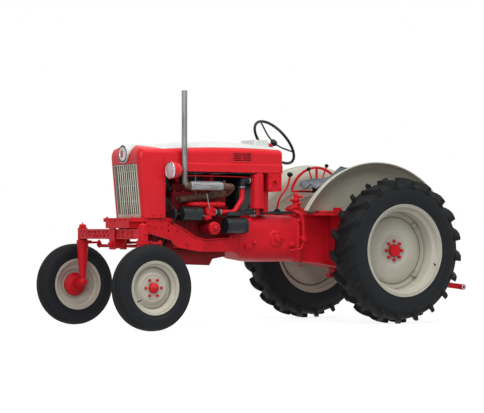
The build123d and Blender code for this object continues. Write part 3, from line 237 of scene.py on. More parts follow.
def ring_tree(material):
    """Copies of a piece round an axle at a centre, an equal angle apart."""
    tree, given, close = new_tree("copies round an axle", material, {"Count": "Int", "Centre": "Vector",
                                                                     "Start": "Float"})
    to_middle = add(tree, "ShaderNodeVectorMath", {0: given["Centre"], "Scale": -1.0}, {"operation": "SCALE"})
    centred = add(tree, "GeometryNodeTransform", {"Geometry": given["Geometry"],
                                                  "Translation": to_middle.outputs[0]})
    points = add(tree, "GeometryNodePoints", {"Count": given["Count"], "Position": given["Centre"]})
    share = add(tree, "ShaderNodeMath", {0: add(tree, "GeometryNodeInputIndex").outputs[0],
                                         1: given["Count"]}, {"operation": "DIVIDE"}).outputs[0]
    angle = add(tree, "ShaderNodeMath", {0: share, 1: tau, 2: given["Start"]},
                {"operation": "MULTIPLY_ADD"}).outputs[0]
    facing = add(tree, "ShaderNodeCombineXYZ", {"Y": angle}).outputs[0]
    copies = add(tree, "GeometryNodeInstanceOnPoints", {"Points": points.outputs[0],
                                                        "Instance": centred.outputs[0], "Rotation": facing})
    close(copies.outputs[0])
    return tree


def grown(piece, tree, values):
    """A plain mesh of what a tree makes of a piece. It takes the name of the piece, which is removed."""
    modifier = piece.modifiers.new(tree.name, "NODES")
    modifier.node_group = tree
    for item in tree.interface.items_tree:
        if item.in_out == "INPUT" and item.name in values:
            modifier[item.identifier] = values[item.name]
    bpy.context.view_layer.update()
    mesh = bpy.data.meshes.new_from_object(piece.evaluated_get(bpy.context.evaluated_depsgraph_get()))
    name, source = piece.name, piece.data
    bpy.data.objects.remove(piece)
    bpy.data.meshes.remove(source)
    mesh.name = name
    return linked(name, mesh)


# Half of the casing's section, out along the axle from its middle: tread, shoulder, a sidewall with two
# moulded rings, and the bead behind the rim's flange
CASING_R = 566  # the lugs stand 36 mm over it
REAR_CASING = [(0, CASING_R + 4), (50, CASING_R), (96, CASING_R - 12), (122, CASING_R - 34),
               (134, CASING_R - 62), (141, 478), (140, 446), (136, 424), (136, 421), (131, 418), (129, 404),
               (125, 396), (123, 384), (118, REAR_SEAT_R), (90, REAR_SEAT_R)]


def casing(name, half_outline, centre, out, tread_edge):
    """A tyre's casing, closed inside at the bead: tread outside its edge's radius, sidewall inside it."""
    shape = bmesh.new()
    whole = half_outline + [(-a, r) for a, r in half_outline[:0:-1]]
    turned(shape, rounded(whole, 9, 2), centre, LEFT * out, 144,
           lambda along, radius: 0 if radius > tread_edge else 1)
    return placed(name, shape, [tread_rubber, sidewall_rubber], 50)


# A lug's line: out along the axle, and how far round the tread. It runs back over the shoulder and flares
# at its foot
LUG_TOP, LUG_FOOT, LUGS_PER_ROW = 30, 56, 20
LUG_LINE = ((6, 0.0), (40, 11), (78, 30), (112, 56), (136, 78))
LUG_SHOULDER_DROP, LUG_FOOT_DROP = 26, 46


def lug(name, centre, out, row):
    """The lug at the top of one row."""
    shape = bmesh.new()
    rings = []
    for i, (along, back) in enumerate(LUG_LINE):
        reach = i / (len(LUG_LINE) - 1)
        floor_r = CASING_R - 6 - LUG_FOOT_DROP * reach ** 3
        top_r = REAR_TYRE_R - LUG_SHOULDER_DROP * reach ** 3
        half_top, half_foot = LUG_TOP / 2 + 3 * reach, LUG_FOOT / 2 + 2 * reach
        section = [(-half_foot, floor_r), (-half_foot * 0.72, floor_r + 10), (-half_top, top_r - 3),
                   (-half_top + 4, top_r), (half_top - 4, top_r), (half_top, top_r - 3),
                   (half_foot * 0.72, floor_r + 10), (half_foot, floor_r)]
        rings.append([shape.verts.new(at(centre[0] - r * sin((back + across) / REAR_TYRE_R),
                                         centre[1] + out * row * along,
                                         centre[2] + r * cos((back + across) / REAR_TYRE_R)))
                      for across, r in section])
    skin(shape, rings)
    shape.faces.new(rings[0])
    shape.faces.new(rings[-1][::-1])
    return placed(name, shape, [], 40)


lug_ring = ring_tree(tread_rubber)
for out, hand in SIDES:
    hub = (0, out * REAR_TRACK / 2, REAR_TYRE_R)
    body, solid = f"rear_wheel_{hand}", f"rear_tyre_{hand}"
    own(casing(f"rear_casing_{hand}", REAR_CASING, hub, out, 505), body, solid)
    for row, title, start in ((1, "outer", 0.0), (-1, "inner", pi / LUGS_PER_ROW)):
        first = lug(f"rear_lugs_{hand}_{title}", hub, out, row)
        own(grown(first, lug_ring, {"Count": LUGS_PER_ROW, "Centre": at(*hub), "Start": start}), body, solid)

# Rear wheels. A drop-centre rim of rolled steel, and a pressed disc that four clamps hold to a rail inside
# the rim, so that the driver can set the track. Both are sprayed stone, with the hub and its nuts red.
DISC_WALL = 8
# The rim's section all round, along the axle and by radius
REAR_RIM = [(127, 381), (127, 373), (119, 370), (119, 352), (78, 348), (66, 330), (62, 322),
            (-62, 322), (-66, 330), (-78, 348), (-119, 352), (-119, 370), (-127, 373), (-127, 381),
            (-121, 381), (-121, 356), (-76, 355), (-58, 328), (58, 328), (76, 355), (121, 356), (121, 381)]
# The disc's edge along the axle and by radius, how far its middle stands out, and the recess round its hub
REAR_DISC_EDGE, REAR_DISC_R, REAR_DISC_RISE, REAR_RECESS_R, REAR_RECESS = -58, 282, 34, 122, 10
REAR_HUB_BORE = 52.5
# The rail's inner and outer radius, place along the axle and width, and the clamps' number and size
RAIL_LOW_R, RAIL_HIGH_R, RAIL_PLACE, RAIL_W = 294, 323, -46, 7
CLAMPS, CLAMP_W, CLAMP_H, CLAMP_BOLT = 4, 30, 46, 16


def enamel(name, colour, shade, grain, roughness=0.28, metal_edge="8A7F78", dust_height=0.0, corner_shade_and_dirt=0.5,
           coat=0.08):
    """Sprayed alkyd enamel, darkened with painted shade and dirt where parts meet, and thin along its edges.

    Its grain is how deep its bumps are in metres, 0.0004 over sand castings. Dust lies on it up to a height.
    """
    material, tree, output = blank_material(name)
    place = add(tree, "ShaderNodeTexCoord").outputs["Object"]
    patches = noise(tree, place, 0.22)
    grains = noise(tree, place, 0.0045, 3.0)
    paint = mixed(tree, ramp(tree, patches, 0.0, 0.55, 0.35, 0.75), linear(colour), linear(shade))
    # Where parts meet, within a few centimetres of the joint, the paint is darkened brown: painted shade, and
    # the dirt that gathers there
    corners = add(tree, "ShaderNodeAmbientOcclusion", {"Distance": 0.05}, {"samples": 6}).outputs["AO"]
    paint = mixed(tree, ramp(tree, corners, corner_shade_and_dirt, 0.0, 0.25, 0.8), paint,
                  mixed(tree, 1.0, paint, linear("6E4A40"), "MULTIPLY"))
    if dust_height:
        height = add(tree, "ShaderNodeSeparateXYZ", {"Vector": place}).outputs["Z"]
        spotted = product(tree, ramp(tree, height, 0.4, 0.0, 0.0, dust_height), patches)
        paint = mixed(tree, spotted, paint, linear("8F8371"))
    # The corner of a casting or a fold shows as a soft line of light
    soft = add(tree, "ShaderNodeBevel", {"Radius": 0.0025}, {"samples": 4}).outputs["Normal"]
    flat = add(tree, "ShaderNodeNewGeometry").outputs["True Normal"]
    apart = add(tree, "ShaderNodeVectorMath", {0: soft, 1: flat},
                {"operation": "DOT_PRODUCT"}).outputs["Value"]
    paint = mixed(tree, product(tree, ramp(tree, apart, 0.35, 0.0, 0.80, 0.97), grains), paint,
                  linear(metal_edge))
    bump = add(tree, "ShaderNodeBump", {"Height": grains, "Distance": grain, "Strength": 0.6, "Normal": soft})
    shown(tree, output, add(tree, "ShaderNodeBsdfPrincipled",
                            {"Base Color": paint,
                             "Roughness": ramp(tree, patches, roughness, roughness + 0.14, 0.35, 0.75),
                             "Normal": bump.outputs["Normal"], "Specular IOR Level": 0.22,
                             "Coat Weight": coat, "Coat Roughness": 0.12}))
    return material


wheel_enamel = enamel("alkyd enamel on rolled steel, stone", "CAC7BA", "B8B5A6", 0.0001, 0.32,
                      dust_height=0.9)
red_casting = enamel("alkyd enamel on cast iron, red", "DC1828", "B8121F", 0.0004, 0.42,
                     coat=0.0)


def finish(material, *solids):
    """Gives solids of the frame their finish."""
    for name in solids:
        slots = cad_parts[name].data.materials
        slots.clear()
        slots.append(material)


def dished(edge, edge_r, rise, centre_r, steps=10):
    """The bulge of a pressed disc from its edge to its centre: steep at the edge and nearly flat inside."""
    return [(edge + rise * sin(pi / 2 * i / steps),
             edge_r + (centre_r - edge_r) * (1 - cos(pi / 2 * i / steps))) for i in range(steps + 1)]


def rear_disc_outline():
    """The pressed disc's section: its face from the edge in, and its back a wall's thickness behind."""
    crown = REAR_DISC_EDGE + REAR_DISC_RISE
    face = [(REAR_DISC_EDGE + 12, REAR_DISC_R + 24), (REAR_DISC_EDGE + 12, REAR_DISC_R)]
    face += dished(REAR_DISC_EDGE, REAR_DISC_R - 2, REAR_DISC_RISE, REAR_RECESS_R + 10)
    face += [(crown - 3, REAR_RECESS_R + 3), (crown - REAR_RECESS, REAR_RECESS_R - 6),
             (crown - REAR_RECESS, REAR_HUB_BORE)]
    back = [(a - DISC_WALL, r) for a, r in face[:1:-1]]
    return face + back + [(REAR_DISC_EDGE - DISC_WALL, REAR_DISC_R + 24)]


def circle(centre, radius, angles, axes="xz"):
    """Places on a circle in the plane of two axes, at angles from the first of them."""
    first, second = ("xyz".index(axis) for axis in axes)
    places = []
    for angle in angles:
        place = list(centre)
        place[first] += radius * cos(angle)
        place[second] += radius * sin(angle)
        places.append(place)
    return places


def ray(angle, axes="xz"):
    """The direction at an angle from the first of two axes towards the second."""
    return Vector(circle((0, 0, 0), 1, (angle,), axes)[0])


def even(count, first=0.0):
    """Angles that share a turn evenly."""
    return [first + step * tau / count for step in range(count)]


def cut_plate(shape, outline, corner, across, up, thick):
    """Adds a plate to a bmesh: an outline in two directions from a corner, and thick along their cross."""
    across, up = Vector(across).normalized(), Vector(up).normalized()
    through = across.cross(up) * thick
    near = [Vector(corner) + across * a + up * b for a, b in outline]
    near, far = [[shape.verts.new(at(*(p + shift))) for p in near] for shift in (Vector(), through)]
    shape.faces.new(near[::-1])
    shape.faces.new(far)
    skin(shape, (near, far))


def bolt_tree(material):
    """A hexagon head on a washer at each point, whose facing and across attributes turn and size it."""
    tree, given, close = new_tree("bolt heads", material, {})
    across = add(tree, "GeometryNodeInputNamedAttribute", {"Name": "across"},
                 {"data_type": "FLOAT"}).outputs[0]
    facing = add(tree, "GeometryNodeInputNamedAttribute", {"Name": "facing"},
                 {"data_type": "FLOAT_VECTOR"}).outputs[0]
    # Sizes for a head 1 across: corner radius, height and chamfer, and the washer under it
    head = add(tree, "GeometryNodeMeshCone", {"Vertices": 6, "Radius Bottom": 0.57, "Radius Top": 0.52,
                                              "Depth": 0.62})
    washer = add(tree, "GeometryNodeMeshCone", {"Vertices": 20, "Radius Bottom": 0.85, "Radius Top": 0.82,
                                                "Depth": 0.14})
    both = add(tree, "GeometryNodeJoinGeometry")
    for part in (head, washer):
        tree.links.new(part.outputs["Mesh"], both.inputs["Geometry"])
    turned_up = add(tree, "FunctionNodeAlignRotationToVector", {"Vector": facing}, {"axis": "Z"}).outputs[0]
    points = add(tree, "GeometryNodeMeshToPoints", {"Mesh": given["Geometry"]}).outputs[0]
    close(add(tree, "GeometryNodeInstanceOnPoints", {"Points": points, "Instance": both.outputs[0],
                                                     "Rotation": turned_up, "Scale": across}).outputs[0])
    return tree


def bolts(name, tree, table, body="chassis"):
    """One piece of bolt heads. Each row gives a place, the way the head faces and its width across flats."""
    mesh = bpy.data.meshes.new(name)
    mesh.from_pydata([at(*place) for place, facing, across in table], [], [])
    facings = mesh.attributes.new("facing", "FLOAT_VECTOR", "POINT")
    facings.data.foreach_set("vector", [number for place, facing, across in table for number in facing])
    widths = mesh.attributes.new("across", "FLOAT", "POINT")
    widths.data.foreach_set("value", [across * MM for place, facing, across in table])
    own(grown(linked(name, mesh), tree, {}), body)


red_bolts = bolt_tree(red_casting)
wheel_bolts = bolt_tree(wheel_enamel)
finish(red_casting, "rear_hub_left", "rear_hub_right")
for out, hand in SIDES:
    hub = Vector((0, out * REAR_TRACK / 2, REAR_TYRE_R))
    body, outwards = f"rear_wheel_{hand}", LEFT * out
    shape = bmesh.new()
    turned(shape, rounded(REAR_RIM, 5, 3), hub, outwards, 128)
    turned(shape, rear_disc_outline(), hub, outwards, 128)
    rail = [(RAIL_PLACE, RAIL_LOW_R), (RAIL_PLACE + RAIL_W, RAIL_LOW_R), (RAIL_PLACE + RAIL_W, RAIL_HIGH_R),
            (RAIL_PLACE, RAIL_HIGH_R)]
    turned(shape, rounded(rail, 2, 2), hub, outwards, 128)
    heads = []
    for angle in even(CLAMPS, pi / 4):
        away, round_about = ray(angle), ray(angle + pi / 2)
        foot = hub + outwards * (REAR_DISC_EDGE - 10) + away * (REAR_DISC_R - 6)
        cut_plate(shape, rounded([(0, -CLAMP_W / 2), (24, -CLAMP_W / 2), (34, -8), (34, 8), (24, CLAMP_W / 2),
                                  (0, CLAMP_W / 2)], 5), foot, away, round_about, -out * CLAMP_H)
        heads.append((foot + outwards * CLAMP_H + away * 15, outwards, CLAMP_BOLT))
    own(placed(f"rear_rim_{hand}", shape, [wheel_enamel], 40), body, f"rear_wheel_{hand}")
    bolts(f"rear_clamp_bolts_{hand}", wheel_bolts, heads, body)

# Front wheels. A small three-rib tyre of moulded rubber steers along the row. Its rim and its pressed disc
# are one riveted wheel in stone enamel, on a red hub whose bearing has a pointed cap.
FRONT_TRACK, WHEELBASE, FRONT_TYRE_R, FRONT_SEAT_R = 1280, 2300, 330, 190
# Outlines from the middle out, along the axle and by radius: the casing's half section, the rim and the
# disc's face
FRONT_CASING = [(0, 330), (9, 330), (12, 327), (15, 311), (27, 311), (30, 326), (36, 328), (46, 324),
                (55, 318), (63, 304), (69, 286), (72, 266), (72, 250), (69, 238), (69, 235), (65, 232),
                (63, 224), (59, 212), (57, 206), (54, FRONT_SEAT_R), (40, FRONT_SEAT_R)]
FRONT_RIM = [(62, 208), (62, 202), (57, 199), (57, 186), (38, 183), (28, 170), (24, 162),
             (-24, 162), (-28, 170), (-38, 183), (-57, 186), (-57, 199), (-62, 202), (-62, 208),
             (-56, 208), (-56, 190), (-36, 189), (-20, 168), (20, 168), (36, 189), (56, 190), (56, 208)]
FRONT_DISC = [(-4, 164), (2, 150), (3, 140), (9, 128), (18, 116), (24, 106), (24, 98), (21, 94), (21, 90),
              (24, 86), (24, 34.5)]
valve_rubber = moulded("moulded rubber, valves and boots", "101214", "1C1E20", 0.55, 0.2)
finish(red_casting, "front_hub_left", "front_hub_right")


def valve(shape, hub, outwards, r, along, angle):
    """A tyre's valve, which leans out of the rim towards the axle."""
    away = ray(angle)
    foot = hub + outwards * along + away * r
    turned(shape, [(0, 0), (0, 7), (4, 7), (8, 4), (26, 4), (26, 5), (36, 4.5), (38, 0)], foot,
           outwards * 0.6 - away, 12)


for out, hand in SIDES:
    hub = Vector((WHEELBASE, out * FRONT_TRACK / 2, FRONT_TYRE_R))
    body, outwards = f"front_wheel_{hand}", LEFT * out
    own(casing(f"front_casing_{hand}", FRONT_CASING, hub, out, 302), body, f"front_tyre_{hand}")
    shape = bmesh.new()
    turned(shape, rounded(FRONT_RIM, 4, 3), hub, outwards, 96)
    disc = rounded(FRONT_DISC + [(a - DISC_WALL, r) for a, r in FRONT_DISC[::-1]], 3, 3)
    turned(shape, disc, hub, outwards, 96)
    own(placed(f"front_rim_{hand}", shape, [wheel_enamel], 40), body, f"front_wheel_{hand}")
    shape = bmesh.new()
    valve(shape, hub, outwards, 184, 46, radians(-35))
    own(placed(f"front_valve_{hand}", shape, [valve_rubber]), body)
    hub = Vector((0, out * REAR_TRACK / 2, REAR_TYRE_R))
    shape = bmesh.new()
    valve(shape, hub, outwards, 350, 100, radians(200))
    own(placed(f"rear_valve_{hand}", shape, [valve_rubber]), f"rear_wheel_{hand}")

# Front axle. A cast channel, pierced along its web, rocks on a pin under the front frame. A forged knuckle
# turns in each end: its long leg gives the clearance over the crop, and a tie rod joins the two arms. All
# are painted red.
KINGPIN_Y, PIVOT_Y, STEER_ARM, STEER_SHAFT = 500, 100, 150, (2190, 60)
AXLE_FACE = WHEELBASE + 40
finish(red_casting, "front_axle_beam", "knuckle_left", "knuckle_right", "steering_arm", "tie_rod")


def strip(shape, start, end, facing, width, height):
    """Adds a flat bar to a bmesh from point to point, with its width on the surface that faces a way."""
    start, end = Vector(start), Vector(end)
    run = (end - start).normalized()
    facing = Vector(facing)
    facing = (facing - run * facing.dot(run)).normalized()
    side = run.cross(facing) * (width / 2)
    section = ((-1, 0), (1, 0), (1, height), (-1, height))
    near, far = [[shape.verts.new(at(*(point + side * s + facing * h))) for s, h in section]
                 for point in (start, end)]
    shape.faces.new(near)
    shape.faces.new(far[::-1])
    skin(shape, (near, far))


def band(shape, place, way, start, end, radius, bore=0, cut=3, steps=2, count=32):
    """Adds a plain disc, or a ring where it has a bore, between two distances along a way from a place."""
    section = rounded([(start, bore), (start, radius), (end, radius), (end, bore)], cut, steps)
    turned(shape, section, place, way, count)


def tube(name, points, radius, material, sides=3, smooth_steps=6):
    """A pipe, hose, rod or wire along a smooth line that its route's points draw in towards themselves."""
    curve = bpy.data.curves.new(name, "CURVE")
    curve.dimensions = "3D"
    curve.bevel_depth, curve.bevel_resolution = radius * MM, sides
    curve.resolution_u, curve.use_fill_caps = smooth_steps, True
    spline = curve.splines.new("NURBS")
    spline.points.add(len(points) - 1)
    for knot, point in zip(spline.points, points):
        knot.co = (*at(*point), 1.0)
    spline.order_u, spline.use_endpoint_u = 3, True
    holder = linked(name, curve)
    bpy.context.view_layer.update()
    mesh = bpy.data.meshes.new_from_object(holder.evaluated_get(bpy.context.evaluated_depsgraph_get()))
    bpy.data.objects.remove(holder)
    bpy.data.curves.remove(curve)
    mesh.name = name
    mesh.materials.clear()
    mesh.materials.append(material)
    for face in mesh.polygons:
        face.use_smooth = True
    return linked(name, mesh)


# The beam: a rolled edge along its top and foot, gussets beside the pivot, and the nuts of its end bosses
shape = bmesh.new()
for z in (706, 771):
    strip(shape, (AXLE_FACE, -KINGPIN_Y + 30, z), (AXLE_FACE, KINGPIN_Y - 30, z), FORWARD, 12, 5)
for y in (-215, -70, 190, 330):
    strip(shape, (AXLE_FACE, y, 711), (AXLE_FACE, y, 766), FORWARD, 9, 4)
for y in (PIVOT_Y - 62, PIVOT_Y + 62):
    cut_plate(shape, [(0, 0), (62, 0), (0, -62)], (AXLE_FACE - 60, y, 704), UP.cross(FORWARD), UP, 12)
band(shape, (AXLE_FACE + 17, PIVOT_Y, 660), FORWARD, 0, 12, 27)
own(placed("axle_ribs", shape, [red_casting]))
bolts("axle_bolts", red_bolts, [
    ((AXLE_FACE, 245, 722), FORWARD, 17), ((AXLE_FACE, 245, 755), FORWARD, 17),
    ((AXLE_FACE, 395, 722), FORWARD, 17), ((AXLE_FACE, 395, 755), FORWARD, 17),
    ((AXLE_FACE, -170, 728), FORWARD, 19), ((AXLE_FACE, -330, 752), FORWARD, 19),
    ((AXLE_FACE + 29, PIVOT_Y, 660), FORWARD, 26), ((WHEELBASE, KINGPIN_Y + 40, 742), LEFT, 15),
    ((WHEELBASE, -KINGPIN_Y - 40, 742), -LEFT, 15)])

for out, hand in SIDES:
    y, body = out * KINGPIN_Y, f"knuckle_{hand}"
    shape = bmesh.new()
    # The kingpin's cap, the thrust bearing under the boss, the leg's collar and the elbow's forged shoulder
    turned(shape, rounded([(0, 0), (0, 29), (5, 29), (12, 20), (16, 0)], 3, 2), (WHEELBASE, y, 806), UP)
    for z, thick, radius, cut in ((678, 10, 47, 3), (662, 9, 52, 3), (398, 22, 33, 4)):
        band(shape, (WHEELBASE, y, z), UP, 0, thick, radius, cut=cut)
    turned(shape, rounded([(0, 0), (0, 40), (16, 44), (24, 36), (24, 0)], 4, 2),
           (WHEELBASE, y + out * 18, 334), LEFT * out)
    turned(shape, [(0, 0), (0, 5), (7, 5), (9, 3), (15, 3), (17, 0)], (WHEELBASE, y, 820), UP, 12)
    own(placed(f"knuckle_details_{hand}", shape, [red_casting]), body)
    bolts(f"knuckle_bolts_{hand}", red_bolts, [((WHEELBASE - 62, y - out * 18, 674), LEFT * -out, 17),
                                               ((WHEELBASE - 62, y + out * 18, 674), LEFT * out, 17),
                                               ((WHEELBASE - STEER_ARM, y, 679), UP, 20)], body)
    # The drum behind the disc, with its raised rim, turns with the wheel
    hub = Vector((WHEELBASE, out * FRONT_TRACK / 2, FRONT_TYRE_R))
    shape = bmesh.new()
    drum = [(-6, 0), (-6, 90), (-12, 95), (-24, 95), (-30, 88), (-40, 62), (-52, 52), (-52, 0)]
    turned(shape, rounded(drum, 3, 2), hub + LEFT * out * 18, LEFT * out, 64)
    own(placed(f"front_drum_{hand}", shape, [red_casting]), f"front_wheel_{hand}")

# Ball joints of the tie rod: a dust boot above each end's eye
for y, title in ((KINGPIN_Y, "left"), (-KINGPIN_Y, "right"), (STEER_SHAFT[1], "middle")):
    x = WHEELBASE - STEER_ARM if title != "middle" else STEER_SHAFT[0] - STEER_ARM
    shape = bmesh.new()
    turned(shape, rounded([(0, 0), (0, 15), (3, 17), (6, 12), (6, 0)], 2, 2), (x, y, 655.2), UP, 24)
    own(placed(f"joint_boot_{title}", shape, [valve_rubber]), "tie_rod")
bolts("tie_rod_nuts", red_bolts, [((WHEELBASE - STEER_ARM, KINGPIN_Y - 34, 657), UP, 13),
                                  ((WHEELBASE - STEER_ARM, -KINGPIN_Y + 34, 657), UP, 13),
                                  ((WHEELBASE - STEER_ARM - 40, STEER_SHAFT[1], 652), UP, 15)], "tie_rod")

# Front frame. Two cast rails run back from the plate under the radiator to the bell housing. Machine bolts
# hold the engine between them, and holes are left in them for a loader or a mower.
BODY_Y, RAIL_OUT = 200, 226
# A rib follows each rail's top edge, which dips past the engine, and another its foot: forward and up
RAIL_TOP_LINE = ((1440, 740), (1481, 706), (1698, 694), (1784, 712), (1862, 760), (1896, 778), (2028, 842),
                 (2068, 861))
RAIL_FOOT_LINE = ((1410, 618), (1445, 603), (1742, 606), (1962, 643), (2000, 694), (2178, 746))
finish(red_casting, "front_frame")
rail_bolts = []
for out in (1, -1):
    face_y = BODY_Y + out * RAIL_OUT
    rail_bolts += [((x, face_y, z), LEFT * out, across) for x, z, across in (
        (1424, 640, 22), (1424, 705, 22), (1700, 640, 19), (1860, 660, 19), (2090, 800, 17), (2150, 800, 17),
        (2090, 850, 17), (2200, 815, 17))]
rail_bolts += [((2362, BODY_Y + y, 850), FORWARD, 15) for y in (-200, -120, -40, 40, 120, 200)]
rail_bolts += [((2340, BODY_Y + y, 865), UP, 17) for y in (-205, 205)]
bolts("frame_bolts", red_bolts, rail_bolts)
shape = bmesh.new()
for out in (1, -1):
    face_y = BODY_Y + out * RAIL_OUT
    for line, width, high in ((RAIL_TOP_LINE, 11, 5), (RAIL_FOOT_LINE, 9, 4)):
        for (x, z), (far_x, far_z) in zip(line, line[1:]):
            strip(shape, (x - 2, face_y, z), (far_x + 2, face_y, far_z), LEFT * out, width, high)
own(placed("rail_ribs", shape, [red_casting]))

# Engine. A four-cylinder block and head of cast iron, sprayed red all over after it is bolted together,
# with a pressed rocker cover, a pressed sump and the spin-on ribbed cap of its oil filter.
HEAD_TOP, ROCKER_TOP, ROCKER_HALF, ENGINE_HALF = 1070, 1150, 84, 130
PORTS = (1520, 1635, 1750, 1865)  # how far forward each cylinder's port is
left_face, right_face = BODY_Y + ENGINE_HALF, BODY_Y - ENGINE_HALF
# The engine's red is painted much darker than the other castings': the shade under the hood and the fuel
# tank, painted into its colour
shaded_engine_red = enamel("alkyd enamel on cast iron, red, painted shade", "8C0F1A", "560A11", 0.0004, 0.45,
                    corner_shade_and_dirt=0.8, coat=0.0)
finish(shaded_engine_red, "engine_block", "cylinder_head", "oil_pan")
finish(red_casting, "intake_manifold")
# The head's bolts, the rocker cover's nuts, and the bolts of the covers and the sump on both sides
bolts("head_bolts", red_bolts,
      [((x, BODY_Y + y, HEAD_TOP), UP, 19) for x in range(1475, 1930, 88) for y in (-108, 108)]
      + [((x, BODY_Y, ROCKER_TOP), UP, 24) for x in (1560, 1820)]
      + [((x, left_face, 925), LEFT, 15) for x in range(1460, 1930, 90)]
      + [((x, left_face, 640), LEFT, 15) for x in range(1460, 1930, 66)]
      + [((x, right_face, z), -LEFT, 15) for x in range(1460, 1930, 90) for z in (640, 925)])
shape = bmesh.new()
# The gasket's edge and the sump's flange stand a little proud, and ribs stiffen the block between them
for y, facing in ((left_face, LEFT), (right_face, -LEFT)):
    for back, front, z, width, high in ((1432, 1948, 960, 6, 3), (1432, 1948, 608, 16, 8),
                                        (1440, 1940, 880, 9, 5), (1440, 1940, 700, 9, 5)):
        strip(shape, (back, y, z), (front, y, z), facing, width, high)
    for x in (1478, 1592, 1708, 1822, 1925):
        strip(shape, (x, y, 705), (x, y, 878), facing, 10, 6)
# Core plugs between the ribs
core_plug = rounded([(0, 0), (0, 24), (4, 24), (4, 19), (2, 17), (2, 0)], 1, 2)
for x in (1535, 1650, 1765, 1880):
    for y, facing in ((left_face, LEFT), (right_face, -LEFT)):
        turned(shape, core_plug, (x, y, 790), facing, 28)
for y, facing in ((BODY_Y + ROCKER_HALF, LEFT), (BODY_Y - ROCKER_HALF, -LEFT)):
    strip(shape, (1476, y, 1078), (1914, y, 1078), facing, 12, 7)
own(placed("engine_ribs", shape, [shaded_engine_red]))

# Oil filter: a deep cup with a ribbed cap, held by one long bolt
FILTER = Vector((1657, left_face, 785))
filter_cap = rounded([(150, 0), (150, 50), (178, 50), (186, 44), (186, 18), (196, 16), (196, 0)], 4, 3)
shape = bmesh.new()
turned(shape, filter_cap, FILTER, LEFT)
for angle in even(8, 0.2):
    away = ray(angle)
    strip(shape, FILTER + LEFT * 185 + away * 14, FILTER + LEFT * 185 + away * 46, LEFT, 7, 7)
own(placed("oil_filter_cap", shape, [red_casting]))
bolts("oil_filter_bolt", red_bolts, [(FILTER + LEFT * 196, LEFT, 19)])


# Exhaust. The manifold's cast iron has rusted where the heat took its paint, the muffler is of aluminised
# sheet with a rolled seam, and the stack is a steel tube that is rusty only near the hot end.
def bare_metal(name, colour, stain, roughness, metallic=1.0, streak=(1, 1, 1), cover=0.5,
               stain_size=0.03, hot_below=0.0):
    """Unpainted metal. Its stains run the way it was drawn, and it is rusty below a height in metres."""
    material, tree, output = blank_material(name)
    place = add(tree, "ShaderNodeTexCoord").outputs["Object"]
    drawn = add(tree, "ShaderNodeMapping", {"Vector": place, "Scale": streak}).outputs["Vector"]
    stains = noise(tree, drawn, stain_size, 6.0, 0.65)
    covered = ramp(tree, stains, 0.0, 1.0, 0.62 - 0.3 * cover, 0.78 - 0.2 * cover)
    base = mixed(tree, covered, linear(colour), linear(stain))
    if hot_below:
        height = add(tree, "ShaderNodeSeparateXYZ", {"Vector": place}).outputs["Z"]
        rust = product(tree, ramp(tree, height, 1.0, 0.0, hot_below - 0.12, hot_below + 0.08),
                       ramp(tree, stains, 0.55, 1.0, 0.4, 0.55))
        base = mixed(tree, rust, base, linear("5E4A3A"))
    soft = add(tree, "ShaderNodeBevel", {"Radius": 0.0015}, {"samples": 4}).outputs["Normal"]
    bump = add(tree, "ShaderNodeBump", {"Height": noise(tree, drawn, 0.0014, 2.0), "Distance": 0.00015,
                                        "Strength": 0.5, "Normal": soft})
    shown(tree, output, add(tree, "ShaderNodeBsdfPrincipled", {
        "Base Color": base, "Metallic": ramp(tree, covered, metallic, metallic * 0.35, 0.0, 1.0),
        "Roughness": ramp(tree, covered, roughness, min(roughness + 0.35, 0.9), 0.0, 1.0),
        "Normal": bump.outputs["Normal"]}))
    return material


aluminised = bare_metal("aluminised steel sheet", "8B8E90", "66625C", 0.42,
                        streak=(0.2, 1, 1), cover=0.35)
dull_steel = bare_metal("heat-dulled steel tube", "858A88", "5E5A54", 0.45, metallic=0.8,
                        streak=(1, 1, 0.12), cover=0.45, hot_below=1.2)
rusty_iron = bare_metal("rusted cast iron", "6B4A3C", "3B2A24", 0.75, metallic=0.3, cover=0.6)
finish(aluminised, "muffler")
finish(dull_steel, "exhaust_pipe")
finish(rusty_iron, "exhaust_manifold")
MUFFLER_Y, MUFFLER_Z, MUFFLER_BACK, MUFFLER_FRONT, MUFFLER_R = 470, 1115, 1570, 1865, 37.5
shape = bmesh.new()
for x, facing in ((MUFFLER_BACK, -FORWARD), (MUFFLER_FRONT, FORWARD)):
    # A pressed neck and its saddle clamp at each end
    turned(shape, rounded([(-4, 0), (-4, 30), (4, 28), (14, 25.5), (34, 25.5), (34, 0)], 2, 3),
           (x, MUFFLER_Y, MUFFLER_Z), facing)
    band(shape, (x, MUFFLER_Y, MUFFLER_Z), facing, 16, 28, 29, bore=24, cut=1)
    cut_plate(shape, rounded([(-6, 0), (6, 0), (6, 22), (-6, 22)], 3, 2),
              Vector((x, MUFFLER_Y, MUFFLER_Z + 26)) + facing * 22 - LEFT * 8, FORWARD, UP, -16)
own(placed("muffler_necks", shape, [rusty_iron]))
shape = bmesh.new()
for x in (MUFFLER_BACK + 12, MUFFLER_FRONT - 20):
    band(shape, (x, MUFFLER_Y, MUFFLER_Z), FORWARD, 0, 8, MUFFLER_R + 2, bore=30, cut=2, steps=3)
strip(shape, (MUFFLER_BACK + 14, MUFFLER_Y - 4, MUFFLER_Z + MUFFLER_R - 1),
      (MUFFLER_FRONT - 14, MUFFLER_Y - 4, MUFFLER_Z + MUFFLER_R - 1), UP, 9, 3)
own(placed("muffler_seams", shape, [aluminised]))
PORT_BACK_X, PORT_BACK_Z, PORT_SLOPE = 1500, 1058, 48 / 405


def port_z(x):
    """The height of a port's flange: the manifold falls a little towards the front."""
    return PORT_BACK_Z - (x - PORT_BACK_X) * PORT_SLOPE


